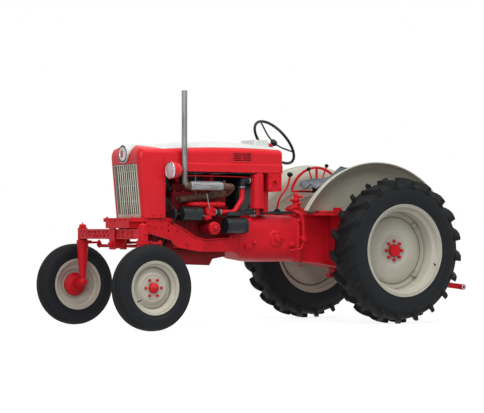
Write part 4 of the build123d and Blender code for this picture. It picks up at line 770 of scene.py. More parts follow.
shape = bmesh.new()
for x in PORTS:
    # Each port's two-bolt flange
    cut_plate(shape, rounded([(-48, -14), (0, -30), (48, -14), (48, 14), (0, 30), (-48, 14)], 12),
              (x, left_face, port_z(x)), -FORWARD, UP, 12)
own(placed("manifold_flanges", shape, [rusty_iron]))
rusty_bolts = bolt_tree(rusty_iron)
bolts("manifold_nuts", rusty_bolts,
      [((x + side, left_face + 12, port_z(x)), LEFT, 15) for x in PORTS for side in (-36, 36)])

# Carburettor and air line. A red updraught carburettor hangs under the intake pipe. A short black hose at
# each end joins the air pipe to it and to the oil-bath cleaner, with zinc-plated worm clamps.
INTAKE_Y, INTAKE_Z, CARBURETTOR_X = 440, 972, 1672
finish(red_casting, "air_cleaner", "air_pipe")
zinc_plate = bare_metal("zinc plate on steel", "8C8F91", "6A6D6F", 0.38, cover=0.25,
                        stain_size=0.01)
hose_rubber = moulded("moulded rubber, hoses", "14171A", "22262A", 0.45, 0.3)
# The intake pipe's collars, the carburettor's flange under it, and the two flanges on the head
shape = bmesh.new()
for x in (1600, 1740):
    band(shape, (x, INTAKE_Y, INTAKE_Z), FORWARD, 0, 8, 25, bore=18, cut=2)
band(shape, (CARBURETTOR_X, INTAKE_Y, 941), UP, 0, 8, 34)
# Its float bowl, and the bosses of the choke's and the throttle's shafts
turned(shape, rounded([(0, 0), (0, 34), (6, 38), (28, 38), (34, 30), (34, 0)], 4, 2),
       (CARBURETTOR_X + 16, INTAKE_Y, 852), UP)
band(shape, (CARBURETTOR_X - 24, INTAKE_Y + 30, 925), LEFT, 0, 24, 9, cut=2, count=20)
band(shape, (CARBURETTOR_X + 30, INTAKE_Y + 30, 905), LEFT, 0, 16, 12, cut=2, count=20)
for x in (PORTS[0], 1820):
    band(shape, (x, left_face, INTAKE_Z), LEFT, 0, 9, 34, bore=18)
own(placed("carburettor_details", shape, [red_casting]))
bolts("carburettor_screws", red_bolts, [
    ((CARBURETTOR_X - 30, INTAKE_Y + 34, 893), LEFT, 10), ((CARBURETTOR_X + 4, INTAKE_Y + 34, 936), LEFT, 10),
    ((CARBURETTOR_X + 16, INTAKE_Y, 851), -UP, 16), ((CARBURETTOR_X - 20, INTAKE_Y + 20, 949), UP, 11),
    ((CARBURETTOR_X + 20, INTAKE_Y + 20, 949), UP, 11)])
own(tube("air_hose_low", [(1560, 439, 911), (1590, 440, 912), (1628, 440, 912)], 25, hose_rubber))
own(tube("air_hose_high", [(1262, 402, 1168), (1318, 403, 1169), (1341, 404, 1166), (1344, 406, 1098)], 25,
         hose_rubber, 5, 10))
shape = bmesh.new()
for centre, way in (((1566, 439, 911), FORWARD), ((1612, 440, 912), FORWARD), ((1272, 402, 1168), FORWARD),
                    ((1344, 406, 1118), -UP)):
    band(shape, centre, way, 0, 12, 27.5, bore=24, cut=1)
    middle = Vector(centre) + way * 6 + LEFT * 27
    band(shape, middle, way.cross(LEFT), -12, 12, 6, cut=1, count=10)
own(placed("hose_clamps", shape, [zinc_plate]))
# The throttle's rod from the governor, its link to the carburettor, the choke's wire and the fuel line
for name, radius, material, points in (
        ("throttle_rod", 3.5, red_casting, [(1900, 424, 1196), (1600, 428, 1197), (1330, 424, 1194),
                                            (1120, 380, 1190)]),
        ("carburettor_link", 3.2, zinc_plate, [(1708, 470, 1058), (1700, 478, 1000), (1690, 482, 930)]),
        ("choke_wire", 2.5, hose_rubber, [(1640, 472, 900), (1600, 480, 866), (1480, 478, 890),
                                          (1380, 452, 930), (1200, 330, 930)]),
        ("fuel_line", 4, zinc_plate, [(1708, 462, 880), (1740, 470, 878), (1752, 440, 930),
                                      (1742, 350, 990), (1735, 345, 1180), (1735, 330, 1245)])):
    own(tube(name, points, radius, material, 2))
# The oil-bath cleaner: beads round its body, the clamp of its cup and its domed top. The beads are given by
# height, radius and width.
CLEANER = (1195, 400)
shape = bmesh.new()
for z, r, high in ((1012, 58, 8), (1046, 55, 6), (1190, 55, 6), (1080, 54.5, 5)):
    band(shape, (*CLEANER, z), UP, 0, high, r, bore=50, cut=2, steps=3, count=40)
turned(shape, rounded([(0, 0), (0, 54), (3, 54), (10, 44), (12, 0)], 3, 3), (*CLEANER, 1219), UP, 40)
own(placed("air_cleaner_beads", shape, [red_casting]))

# Electrics. The generator and the starter are steel drums in black enamel with bolted ends. The distributor
# stands on the right, and black wires run from its cap to the four plugs.
GENERATOR, STARTER = Vector((1760, 450, 897)), Vector((1363, 480, 805))
black_enamel = enamel("alkyd enamel, black", "1E2428", "171B1F", 0.0001, 0.3,
                      metal_edge="55585A")
black_bolts = bolt_tree(black_enamel)
finish(black_enamel, "generator", "starter_motor")
# Bands round each drum: place along it, radius and width
shape = bmesh.new()
for start, r, wide in ((0, 57, 12), (150, 57, 20), (28, 56, 5), (118, 56, 5)):
    band(shape, GENERATOR + FORWARD * start, FORWARD, 0, wide, r, bore=50, cut=2, count=40)
turned(shape, rounded([(0, 0), (0, 20), (8, 20), (16, 14), (16, 0)], 3, 2), GENERATOR, -FORWARD, 24)
# Its two terminals
for angle in (0.7, 2.2):
    turned(shape, [(0, 0), (0, 6), (10, 6), (14, 3), (20, 3), (20, 0)],
           GENERATOR + FORWARD * 60 + ray(angle, "yz") * 54, ray(angle, "yz"), 12)
for start, r, wide in ((-1, 66, 14), (150, 64, 10), (181, 62.6, 6), (20, 64, 5)):
    band(shape, STARTER + FORWARD * start, FORWARD, 0, wide, r, bore=56, cut=2, count=40)
turned(shape, rounded([(-30, 0), (-30, 24), (72, 24), (76, 18), (84, 14), (84, 0)], 4, 2),
       STARTER + Vector((70, -16, 88)), FORWARD, 28)
own(placed("electrics_bands", shape, [black_enamel]))
bolts("electrics_bolts", black_bolts, [
    ((1544, 520, 830), FORWARD, 10), ((1544, 440, 780), FORWARD, 10), ((1760, 486, 920), -FORWARD, 9),
    ((1760, 414, 874), -FORWARD, 9), ((1518, 464, 893), FORWARD, 11)])
DISTRIBUTOR = (1700, 50, 900)
shape = bmesh.new()
turned(shape, rounded([(-60, 0), (-60, 18), (0, 20), (6, 36), (40, 36), (46, 30), (64, 24), (66, 0)], 3, 2),
       DISTRIBUTOR, (0, -0.25, 1), 32)
for x in PORTS:
    # Plug: its hexagon and its boot
    turned(shape, [(0, 0), (0, 10), (10, 10), (10, 7), (34, 6), (52, 8), (54, 0)], (x, right_face, 1010),
           (0, -1, 0.5), 12)
own(placed("distributor_and_plugs", shape, [black_enamel]))
for i, x in enumerate(PORTS):
    midway, terminal_x = x * 0.6 + DISTRIBUTOR[0] * 0.4, DISTRIBUTOR[0] - 10 + 7 * i
    route = [(x, right_face - 46, 1033), (x, right_face - 76, 1030), (midway, 4, 985),
             (terminal_x, 26, 1000), (terminal_x, 36, 965)]
    own(tube(f"plug_wire_{i + 1}", route, 4, hose_rubber, 2))

# Cooling. The radiator is of copper fins and soldered tanks in black heat paint, strapped to the frame. Two
# rubber hoses join it to the engine, and a moulded belt drives the pressed fan and the generator.
RADIATOR_BACK, RADIATOR_FRONT, RADIATOR_HALF = 2090, 2150, 180
radiator_black = enamel("heat paint on copper fins, black", "15181A", "0E1012", 0.0001, 0.5,
                        coat=0.0)
finish(radiator_black, "radiator")
finish(red_casting, "fan")
shape = bmesh.new()
for z in (905, 1325):
    for x, facing in ((RADIATOR_BACK - 4, -FORWARD), (RADIATOR_FRONT, FORWARD)):
        strip(shape, (x, BODY_Y - RADIATOR_HALF, z), (x, BODY_Y + RADIATOR_HALF, z), facing, 30, 4)
own(placed("radiator_straps", shape, [radiator_black]))


def row_tree(material):
    """Copies of a piece in a row, a step apart."""
    tree, given, close = new_tree("copies in a row", material, {"Count": "Int", "Step": "Vector"})
    line = add(tree, "GeometryNodeMeshLine", {"Count": given["Count"], "Offset": given["Step"]})
    points = add(tree, "GeometryNodeMeshToPoints", {"Mesh": line.outputs[0]}).outputs[0]
    close(add(tree, "GeometryNodeInstanceOnPoints",
              {"Points": points, "Instance": given["Geometry"]}).outputs[0])
    return tree


FIN_PITCH = 8  # drawn four times as coarse as the real fins, so that they show
shape = bmesh.new()
strip(shape, (RADIATOR_FRONT, BODY_Y - RADIATOR_HALF + 6, 925),
      (RADIATOR_FRONT, BODY_Y - RADIATOR_HALF + 6, 1308), FORWARD, 3, 5)
own(grown(placed("radiator_fins", shape, []), row_tree(radiator_black),
          {"Count": int((2 * RADIATOR_HALF - 12) / FIN_PITCH) + 1, "Step": (0, FIN_PITCH * MM, 0)}))
own(tube("radiator_hose_high", [(1930, BODY_Y + 74, 1085), (1975, BODY_Y + 76, 1150),
                                (2000, BODY_Y + 80, 1310), (2092, BODY_Y + 80, 1318)], 22, hose_rubber, 4))
own(tube("radiator_hose_low", [(1945, BODY_Y - 90, 860), (1990, BODY_Y - 110, 885),
                               (2060, BODY_Y - 120, 902), (2094, BODY_Y - 120, 905)], 20, hose_rubber, 4))


def belt_outline(pulleys, past):
    """The belt's line round pulleys, each given as its middle's place and its radius, as their outer hull."""
    rim = sorted((y + (r + past) * cos(angle), z + (r + past) * sin(angle))
                 for y, z, r in pulleys for angle in even(48))

    def half(points):
        """The hull's lower or upper half: it drops every point that would make it turn inward."""
        line = []
        for point in points:
            while len(line) > 1 and ((line[-1][0] - line[-2][0]) * (point[1] - line[-2][1])
                                     - (line[-1][1] - line[-2][1]) * (point[0] - line[-2][0])) <= 0:
                line.pop()
            line.append(point)
        return line[:-1]

    return half(rim) + half(rim[::-1])


# The belt's pulleys: left, up and radius
BELT = ((BODY_Y, 700, 72), (BODY_Y, 1060, 60), (GENERATOR[1], GENERATOR[2], 38))
BELT_DEPTH = 10
# Its section: forward, and the share of its depth inward
BELT_SECTION = ((1992, 0), (2006, 0), (2003, 1), (1995, 1))
outer = belt_outline(BELT, 5)
shape = bmesh.new()
middle = sum((Vector(p) for p in outer), Vector((0, 0))) / len(outer)
rings = []
for y, z in outer:
    inward = (middle - Vector((y, z))).normalized() * BELT_DEPTH
    rings.append([shape.verts.new(at(x, y + inward.x * s, z + inward.y * s)) for x, s in BELT_SECTION])
skin(shape, rings + rings[:1])
own(placed("fan_belt", shape, [hose_rubber]))
shape = bmesh.new()
fan_middle, blade_angles = Vector((2028, BODY_Y, 1060)), even(4, radians(20))
for angle in blade_angles:
    # A stiffening rib on each blade's spider arm
    away = ray(angle, "yz")
    strip(shape, fan_middle + away * 30, fan_middle + away * 95, FORWARD, 22, 4)
own(placed("fan_spider", shape, [red_casting]), "fan")
bolts("fan_bolts", red_bolts, [(fan_middle + FORWARD * 4 + ray(angle, "yz") * r, FORWARD, 11)
                               for angle in blade_angles for r in (50, 80)], "fan")

# Nose. A pressed cowl stands on the frame round the radiator. Its opening holds a grille of pressed aluminium
# slats, and above it the white top cap ends in a round housing with a plain domed badge in a bright ring.
NOSE_FOOT, NOSE_BROW, BADGE = (2255, 865), (2300, 1330), (2308, 200, 1365)
GRILLE_HALF, GRILLE_TALL, SLATS = 190, 417, 10
# The way that the grille faces, and the way up its face
LEAN = Vector((NOSE_BROW[1] - NOSE_FOOT[1], 0, NOSE_FOOT[0] - NOSE_BROW[0])).normalized()
GRILLE_UP = LEAN.cross(LEFT)
red_sheet = enamel("alkyd enamel on pressed steel, red", "DC1927", "C91521", 0.00008, 0.24,
                   corner_shade_and_dirt=0.25)
white_sheet = enamel("alkyd enamel on pressed steel, white", "D0D4D1", "C4C8C4", 0.00008, 0.22,
                     corner_shade_and_dirt=0.25)
satin_aluminium = bare_metal("satin anodised aluminium", "BDBCAE", "8D8C7E", 0.42,
                             metallic=0.6, streak=(1, 1, 0.1), cover=0.4, stain_size=0.05)
finish(red_sheet, "nose_cowl", "hood_side_left", "hood_side_right")
finish(white_sheet, "hood_top")


def grille_point(side, up, out):
    """A place on the grille: right to left from its middle, up from its foot and out from its face."""
    return Vector((NOSE_FOOT[0] - 4, BODY_Y, NOSE_FOOT[1] + 1)) + LEFT * side + GRILLE_UP * up + LEAN * out


slat_pitch = 2 * (GRILLE_HALF - 8) / (SLATS + 1)
shape = bmesh.new()
cut_plate(shape, rounded([(-7, 6), (-7, 10), (-4, 13), (4, 13), (7, 10), (7, 6)], 2, 2),
          grille_point(-GRILLE_HALF + 8 + slat_pitch, 20, -22), -LEFT, LEAN, GRILLE_TALL - 24)
own(grown(placed("grille_slats", shape, [], 50), row_tree(satin_aluminium),
          {"Count": SLATS, "Step": (0, slat_pitch * MM, 0)}), "chassis", "grille")
shape = bmesh.new()
side = GRILLE_HALF - 5
for across in (-side, side):
    strip(shape, grille_point(across, 0, -26), grille_point(across, GRILLE_TALL, -26), LEAN, 10, 26)
for up, width in ((13, 26), (GRILLE_TALL - 4, 8)):
    strip(shape, grille_point(-GRILLE_HALF, up, -26), grille_point(GRILLE_HALF, up, -26), LEAN, width, 24)
for up in (128, 248, 362):
    strip(shape, grille_point(-side, up, -36), grille_point(side, up, -36), LEAN, 7, 8)
own(placed("grille_frame", shape, [satin_aluminium]), "chassis", "grille")
# A black screen behind the slats hides the radiator's edges: a dark sheet of painted shade for the inside of
# the nose
shape = bmesh.new()
cut_plate(shape, [(-186, 8), (186, 8), (186, GRILLE_TALL - 8), (-186, GRILLE_TALL - 8)],
          grille_point(0, 0, -44), LEFT, GRILLE_UP, 2)
own(placed("grille_shade_screen", shape, [radiator_black]))
bolts("grille_screws", bolt_tree(satin_aluminium),
      [(grille_point(across, up, 0), LEAN, 8) for across in (-side, side) for up in (10, GRILLE_TALL - 12)])

chrome = bare_metal("chromium plate", "B6B9BC", "96999C", 0.12, cover=0.1, stain_size=0.02)
# Sections of the badge's parts, along its axis and by radius
housing = rounded([(-14, 0), (-14, 73), (2, 73), (7, 70), (7, 66), (3, 64), (3, 0)], 2, 3)
gasket = rounded([(2, 0), (2, 66), (9, 65), (11, 61), (9, 57), (5, 56), (5, 0)], 2, 3)
ring = rounded([(4, 0), (4, 56), (8, 56), (11, 52), (11, 46), (7, 44), (7, 0)], 2, 3)
dome = [(6, 0), (6, 43), (9, 40), (12, 30), (14, 18), (14.6, 0)]
for title, sections, material in (("housing", [housing], white_sheet), ("gasket", [gasket], black_enamel),
                                  ("dome", [ring, dome], chrome)):
    shape = bmesh.new()
    for section in sections:
        turned(shape, section, BADGE, FORWARD, 64)
    own(placed(f"badge_{title}", shape, [material]))
shape = bmesh.new()
cut_plate(shape, [(16 * cos(angle), 30 * sin(angle)) for angle in even(32)], Vector(BADGE) + FORWARD * 10,
          LEFT, UP, 6)
own(placed("badge_boss", shape, [red_sheet]))

# Seams and hems of the sheet metal: the white strip overlaps the red shoulders, the cowl's back edge is
# rolled over the hood's front, and the hood's lower edge is folded to stiffen it
HOOD_HALF, HOOD_BACK, HOOD_LOW, NOSE_BACK, SEAM_HALF = 245, 980, 1230, 2070, 195


def measured(place):
    """A point of the model in the tractor's millimetres."""
    return (place.x - rear_axle_x) / MM, place.y / MM, place.z / MM


def surface(solid, start, way):
    """Where a line from a start, in millimetres, first meets a solid of the frame, and the normal there."""
    hit, place, normal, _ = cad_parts[solid].ray_cast(at(*start), Vector(way))
    if not hit:
        raise ValueError(f"nothing of {solid} lies that way")
    return Vector(measured(place)), normal


def follow(shape, solid, starts, way, width, height):
    """Adds a bead that lies on a solid's surface under a row of starting points."""
    marks = [surface(solid, start, way) for start in starts]
    for (place, normal), (next_place, next_normal) in zip(marks, marks[1:]):
        run = (next_place - place).normalized()
        strip(shape, place - run - normal, next_place + run - next_normal, normal + next_normal, width,
              height + 1)


shape = bmesh.new()
for out, hand in SIDES:
    side_y = BODY_Y + out * HOOD_HALF
    seam_y = BODY_Y + out * (SEAM_HALF + 5)
    follow(shape, f"hood_side_{hand}", [(x, seam_y, 1600) for x in range(985, 2071, 60)], -UP, 5, 1.5)
    strip(shape, (HOOD_BACK + 4, side_y, HOOD_LOW + 7), (NOSE_BACK, side_y, HOOD_LOW + 7), LEFT * out, 14, 3)
    strip(shape, (HOOD_BACK + 4, side_y, HOOD_LOW + 14), (HOOD_BACK + 4, side_y, 1288), LEFT * out, 8, 3)
    follow(shape, "nose_cowl", [(NOSE_BACK + 5, BODY_Y + out * 400, z) for z in range(875, 1366, 35)],
           LEFT * -out, 10, 3)
own(placed("hood_hems", shape, [red_sheet]))
bolts("hood_bolts", red_bolts,
      [((x, BODY_Y + out * (HOOD_HALF + 3), HOOD_LOW + 8), LEFT * out, 10) for out in (1, -1)
       for x in (1010, 1090, 1500, 1960)]
      + [((x, BODY_Y + out * HOOD_HALF, 893), LEFT * out, 13) for out in (1, -1) for x in (2105, 2175)])

# Louvres. Each hood side has two groups of five slots, pressed out of its own sheet in a raised frame, that
# let the engine's heat out. Their openings are thin black strips laid on the sheet: painted shade for the
# dark inside of each slot.
LOUVRE_BACK, LOUVRE_FRONT, LOUVRE_Z, LOUVRE_SLOTS = 1266, 1451, 1352, 5
louvre_shade = moulded("painted shade in the louvres", "100808", "1A0C0C", 0.8, 0.0)
frames, slots = bmesh.new(), bmesh.new()
for out, hand in SIDES:
    solid = f"hood_side_{hand}"
    way, start_y = LEFT * -out, BODY_Y + out * 400
    for z in (LOUVRE_Z - 39, LOUVRE_Z + 39):
        follow(frames, solid, [(x, start_y, z) for x in (LOUVRE_BACK, LOUVRE_FRONT)], way, 4, 2)
    for x in (LOUVRE_BACK, LOUVRE_FRONT):
        follow(frames, solid, [(x, start_y, z) for z in range(LOUVRE_Z - 39, LOUVRE_Z + 40, 13)], way, 4, 2)
    for back, front in ((LOUVRE_BACK + 14, LOUVRE_BACK + 88), (LOUVRE_BACK + 100, LOUVRE_FRONT - 12)):
        for step in range(LOUVRE_SLOTS):
            z = LOUVRE_Z - 26 + step * 13
            # Each slot's opening: a black strip of painted shade
            follow(slots, solid, [(x, start_y, z) for x in (back, front)], way, 9, 0.6)
            follow(frames, solid, [(x, start_y, z + 3.6) for x in (back, front)], way, 3, 3.2)
own(placed("louvre_frames", frames, [red_sheet]))
own(placed("louvre_slot_shade", slots, [louvre_shade]))

# Headlights. A pressed bowl in red enamel on a bracket from the hood, with a fluted glass lens that a
# plated rim holds against a bright reflector.
LAMP_X, LAMP_OUT, LAMP_Z, LAMP_R = 2072, 320, 1232, 68


def lamp_glass():
    """Pressed glass with upright flutes on its inside, clear enough to show the bright reflector."""
    material, tree, output = blank_material("pressed headlight glass")
    place = add(tree, "ShaderNodeTexCoord").outputs["Object"]
    flute_width = 0.011
    flutes = add(tree, "ShaderNodeTexWave", {"Vector": place, "Scale": 1 / (flute_width * 20)},
                 {"bands_direction": "Y", "wave_profile": "SIN"}).outputs["Fac"]
    bump = add(tree, "ShaderNodeBump", {"Height": flutes, "Distance": 0.002, "Strength": 0.6})
    shown(tree, output, add(tree, "ShaderNodeBsdfPrincipled", {
        "Base Color": linear("EEF2F2"), "Roughness": 0.12, "IOR": 1.5, "Transmission Weight": 0.45,
        "Normal": bump.outputs["Normal"]}))
    return material


pressed_glass = lamp_glass()
for out, hand in SIDES:
    lamp = Vector((LAMP_X, BODY_Y + out * LAMP_OUT, LAMP_Z))
    solid = f"headlight_{hand}"
    shape = bmesh.new()
    bowl = [(-104, 0), (-102, 14), (-96, 32), (-82, 48), (-62, 60), (-36, 66), (-12, LAMP_R), (-4, LAMP_R)]
    turned(shape, bowl + [(-4, 62), (-14, 62), (-60, 54), (-88, 30), (-92, 0)], lamp, FORWARD, 48)
    band(shape, (2026, BODY_Y + out * (HOOD_HALF - 6), 1248), LEFT * out, 0, 82, 15, cut=4, count=24)
    band(shape, (2026, BODY_Y + out * HOOD_HALF, 1248), LEFT * out, 0, 8, 26, count=28)
    own(placed(f"headlight_bowl_{hand}", shape, [red_sheet], 50), "chassis", solid)
    shape = bmesh.new()
    rim = rounded([(-8, 66), (-8, 69.5), (2, 69.5), (5, 66), (5, 61), (0, 60), (0, 66)], 1.5, 3)
    turned(shape, rim, lamp, FORWARD, 48)
    reflector = [(-30, 0), (-26, 20), (-12, 44), (-3, 61), (-5, 61), (-14, 44), (-28, 20), (-32, 0)]
    turned(shape, reflector, lamp, FORWARD, 48)
    own(placed(f"headlight_rim_{hand}", shape, [chrome], 50), "chassis", solid)
    shape = bmesh.new()
    turned(shape, [(10, 0), (9, 20), (6, 42), (2, 60), (0, 60), (4, 42), (7, 20), (8, 0)], lamp, FORWARD, 48)
    own(placed(f"headlight_lens_{hand}", shape, [pressed_glass], 60), "chassis", solid)

# Black sheets under the hood. Black pressed sheets close the space between the engine and the fuel tank over
# it, and a shroud rings the fan: dark sheets of painted shade, where the gaps under the hood would show the
# bright background.
shape = bmesh.new()
strip(shape, (1215, BODY_Y, 1226), (2086, BODY_Y, 1226), -UP, 430, 6)
strip(shape, (1204, BODY_Y - 205, 1168), (2086, BODY_Y - 205, 1168), -LEFT, 120, 4)
strip(shape, (1208, BODY_Y - 205, 1059), (1208, BODY_Y + 180, 1059), FORWARD, 330, 4)
cut_plate(shape, [(-225, -190), (-130, -190), (-130, 190), (-90, 226), (90, 226), (130, 190), (130, -190),
                  (225, -190), (225, 260), (-225, 260)], (2060, BODY_Y, 1060), LEFT, UP, 5)
own(placed("shade_sheets_under_hood", shape, [black_enamel]))
finish(red_casting, "fuel_tank")

# Gearbox and rear axle. Three sand castings bolted end to end: the bell housing, the gearbox, and the
# axle's centre with its trumpet housings, under the hydraulic lift's cover. Covers and plugs are bolted to
# their machined faces.
CASE_HALF, AXLE_CASE_HALF, CASE_TOP, RING = 210, 150, 895, 72
# The gearbox's sections from back to front: forward, half width, foot, top, and how square its corners are
CASE_SECTIONS = ((772, 206, 512, 868, 8), (798, 206, 512, 872, 8), (806, 200, 516, 884, 4.5),
                 (880, 206, 513, 892, 3.6), (1000, CASE_HALF, 512, CASE_TOP, 3.3),
                 (1180, CASE_HALF, 515, CASE_TOP, 3.3), (1300, 206, 536, CASE_TOP, 3.8),
                 (1396, 200, 590, CASE_TOP, 4.5), (1404, 212, 600, CASE_TOP, 8),
                 (1430, 212, 606, CASE_TOP, 8))
# Places on the gearbox's sides, forward and up, and the back face of the starter's block
SIDE_COVER, PLUG, STUD, SQUARE_BOSS, STARTER_FACE = (1020, 703), (868, 650), (1228, 668), (1290, 640), 1340
finish(red_casting, "rear_axle", "lift_cover")


def lofted(shape, sections):
    """Skins a closed casting over sections that turn from round to square, and caps both its ends."""
    rings = []
    for forward, half, low, high, square in sections:
        ring = []
        for step in range(RING):
            turn = step * tau / RING
            across = copysign(abs(cos(turn)) ** (2 / square), cos(turn)) * half
            height = copysign(abs(sin(turn)) ** (2 / square), sin(turn)) * (high - low) / 2
            ring.append(shape.verts.new(at(forward, BODY_Y + across, (high + low) / 2 + height)))
        rings.append(ring)
    skin(shape, rings)
    shape.faces.new(rings[0][::-1])
    shape.faces.new(rings[-1])


shape, casing_heads = bmesh.new(), []
lofted(shape, CASE_SECTIONS)
# The starter bolts to a block on the gearbox's left shoulder
cut_plate(shape, rounded([(-10, 747), (112, 747), (112, 863), (-10, 863)], 16), (STARTER_FACE + 23, 428, 0),
          LEFT, UP, -23)
bmesh.ops.recalc_face_normals(shape, faces=shape.faces)
own(placed("gearbox_casting", shape, [red_casting]), "chassis", "transmission_case")
casing_heads += [((STARTER_FACE, y, z), -FORWARD, 17) for y, z in ((450, 846), (522, 764))]
shape = bmesh.new()
for out in (1, -1):
    face_y, facing = BODY_Y + out * (CASE_HALF - 2), LEFT * out
    # The side cover and its cap, the plug and the stud's boss
    for (x, z), section, sides in (
            (SIDE_COVER, rounded([(-4, 0), (-4, 70), (8, 66), (12, 58), (12, 0)], 4, 3), 48),
            ((SIDE_COVER[0] - 12, SIDE_COVER[1]), rounded([(8, 0), (8, 30), (26, 27), (26, 0)], 4, 3), 32),
            (PLUG, rounded([(-6, 0), (-6, 26), (10, 20), (10, 0)], 3, 2), 28),
            (STUD, rounded([(-6, 0), (-6, 17), (14, 15), (14, 0)], 3, 2), 24)):
        turned(shape, section, (x, face_y, z), facing, sides)
    cut_plate(shape, rounded([(-28, -22), (28, -22), (28, 22), (-28, 22)], 8),
              (SQUARE_BOSS[0], face_y - out * 10, SQUARE_BOSS[1]), FORWARD, UP, -out * 32)
    cover_circle = circle((SIDE_COVER[0], face_y + out * 12, SIDE_COVER[1]), 52, even(6))
    casing_heads += [(place, facing, 12) for place in cover_circle]
    casing_heads += [((SQUARE_BOSS[0], face_y + out * 22, SQUARE_BOSS[1]), facing, 19),
                     ((STUD[0], face_y + out * 14, STUD[1]), facing, 15),
                     ((PLUG[0], face_y + out * 10, PLUG[1]), facing, 20)]
    casing_heads += [((1417, BODY_Y + out * 212, z), facing, 16) for z in (660, 720, 850)]
    casing_heads += [((785, BODY_Y + out * 206, z), facing, 16) for z in (570, 640, 710, 780, 840)]
    side_y = BODY_Y + out * AXLE_CASE_HALF
    for x in (752, 610, 470, 330):
        strip(shape, (x, side_y, 506), (x, side_y, 860 if x > 425 else 780), facing, 14 if x > 700 else 9, 7)
    strip(shape, (560, side_y, 512), (300, side_y, 462), facing, 12, 6)
    casing_heads += [((752, side_y + out * 7, z), facing, 17) for z in (540, 620, 700, 780, 850)]
    # Trumpet housing: its bolted root, four ribs and the brake's back plate at its end
    start = BODY_Y + out * (AXLE_CASE_HALF + 14)
    casing_heads += [(place, facing, 17) for place in circle((0, start, REAR_TYRE_R), 96, even(10, 0.2))]
    for angle in even(4, pi / 4):
        root, end = [Vector((0, y, REAR_TYRE_R)) + ray(angle) * 60 for y in (start, out * 492)]
        strip(shape, root, end, ray(angle), 12, 14)
    turned(shape, rounded([(0, 40), (0, 128), (10, 132), (30, 130), (34, 124), (34, 40)], 5, 3),
           (0, out * 470, REAR_TYRE_R), facing, 64)
    casing_heads += [(place, facing, 13) for place in circle((0, out * 504, REAR_TYRE_R), 112, even(8))]
# The gearbox's top hatch, the lift cover's ribs and filler plug, and the drain plug
cut_plate(shape, rounded([(-95, -70), (95, -70), (95, 70), (-95, 70)], 14), (1010, BODY_Y - 20, CASE_TOP - 1),
          FORWARD, LEFT, 9)
for x in (-110, 20, 150, 280):
    for out in (1, -1):
        strip(shape, (x, BODY_Y + out * 105, 812), (x, BODY_Y + out * 105, 915), LEFT * out, 10, 6)
turned(shape, rounded([(0, 0), (0, 24), (10, 24), (14, 16), (24, 14), (24, 0)], 3, 2), (80, BODY_Y - 55, 940),
       UP, 28)
band(shape, (640, BODY_Y, 478), -UP, 0, 8, 20, count=28)
own(placed("casting_ribs", shape, [red_casting]))
casing_heads += [((1010 + x, BODY_Y - 20 + y, CASE_TOP + 9), UP, 13) for x in (-80, 0, 80) for y in (-56, 56)]
casing_heads += [((x, BODY_Y + y, 940), UP, 15) for x in (-150, -40, 160, 350) for y in (-78, 78)]
casing_heads += [(place, -FORWARD, 17) for place in circle((-160, BODY_Y, 630), 118, even(10), "yz")]
bolts("casing_bolts", red_bolts, casing_heads)

# Pipes and wires on the gearbox: a black pipe and the wiring loom run back along its top edge to the lift's
# valve, a stack of bolted red sections beside the seat's post
for name, radius, points in (
        ("lift_pipe", 7, [(1320, 396, 905), (1180, 414, 915), (1000, 420, 902), (880, 404, 912),
                          (760, 372, 900), (680, 250, 905), (650, 160, 900)]),
        ("wiring_loom", 5, [(1420, 380, 905), (1250, 404, 906), (1090, 372, 912), (940, 385, 903),
                            (830, 330, 912), (600, 300, 898)]),
        ("battery_wire", 6, [(1380, 452, 880), (1330, 440, 925), (1240, 350, 950), (1150, 300, 1090)])):
    own(tube(name, points, radius, hose_rubber, 3))
VALVE_STACK = Vector((640, 130, 890))
shape = bmesh.new()
stack = [(0, 0), (0, 46), (14, 46), (16, 30), (60, 30), (62, 38), (78, 38), (80, 27), (120, 27), (122, 36),
         (138, 36), (140, 22), (176, 20), (190, 10), (190, 0)]
turned(shape, rounded(stack, 2, 2), VALVE_STACK, UP, 32)
# Its pipe unions: the height of each and the way that it points
union = rounded([(18, 0), (18, 13), (46, 13), (46, 9), (58, 9), (58, 0)], 2, 2)
for z, angle in ((38, 0.5), (98, 1.9), (68, 3.4), (128, 0.1), (158, 2.4)):
    turned(shape, union, VALVE_STACK + UP * z, ray(angle, "xy"), 20)
own(placed("lift_valve", shape, [red_casting]))
bolts("lift_valve_bolts", red_bolts,
      [(place, UP, 11) for place in circle(VALVE_STACK + UP * 78, 32, (0.4, 1.97, 3.54, 5.11), "xy")])

# Controls. Three forged pedals with ribbed pads turn on cross shafts beside the gearbox: the clutch's on
# the left and the two brakes' on the right. The gear lever bends back to the driver from a rubber boot, and
# the footrests are pressed plates bolted to the castings.
finish(red_casting, "footrest_left", "footrest_right")
# The way that a pedal's pad faces, and the way up its slope
PAD_FACE, PAD_UP = Vector((0.5, 0, 0.86)), Vector((-0.86, 0, 0.5))
shape = bmesh.new()
for pad_middle in (Vector((905, 440, 958)), Vector((905, -70, 958)), Vector((895, 10, 955))):
    cut_plate(shape, rounded([(-42, -34), (42, -34), (42, 34), (-42, 34)], 12), pad_middle, LEFT, PAD_UP, -9)
    for step in (-24, -8, 8, 24):
        rib_middle = pad_middle + PAD_UP * step + UP
        strip(shape, rib_middle - LEFT * 34, rib_middle + LEFT * 34, PAD_FACE, 5, 4)
own(placed("pedal_pads", shape, [red_casting]))
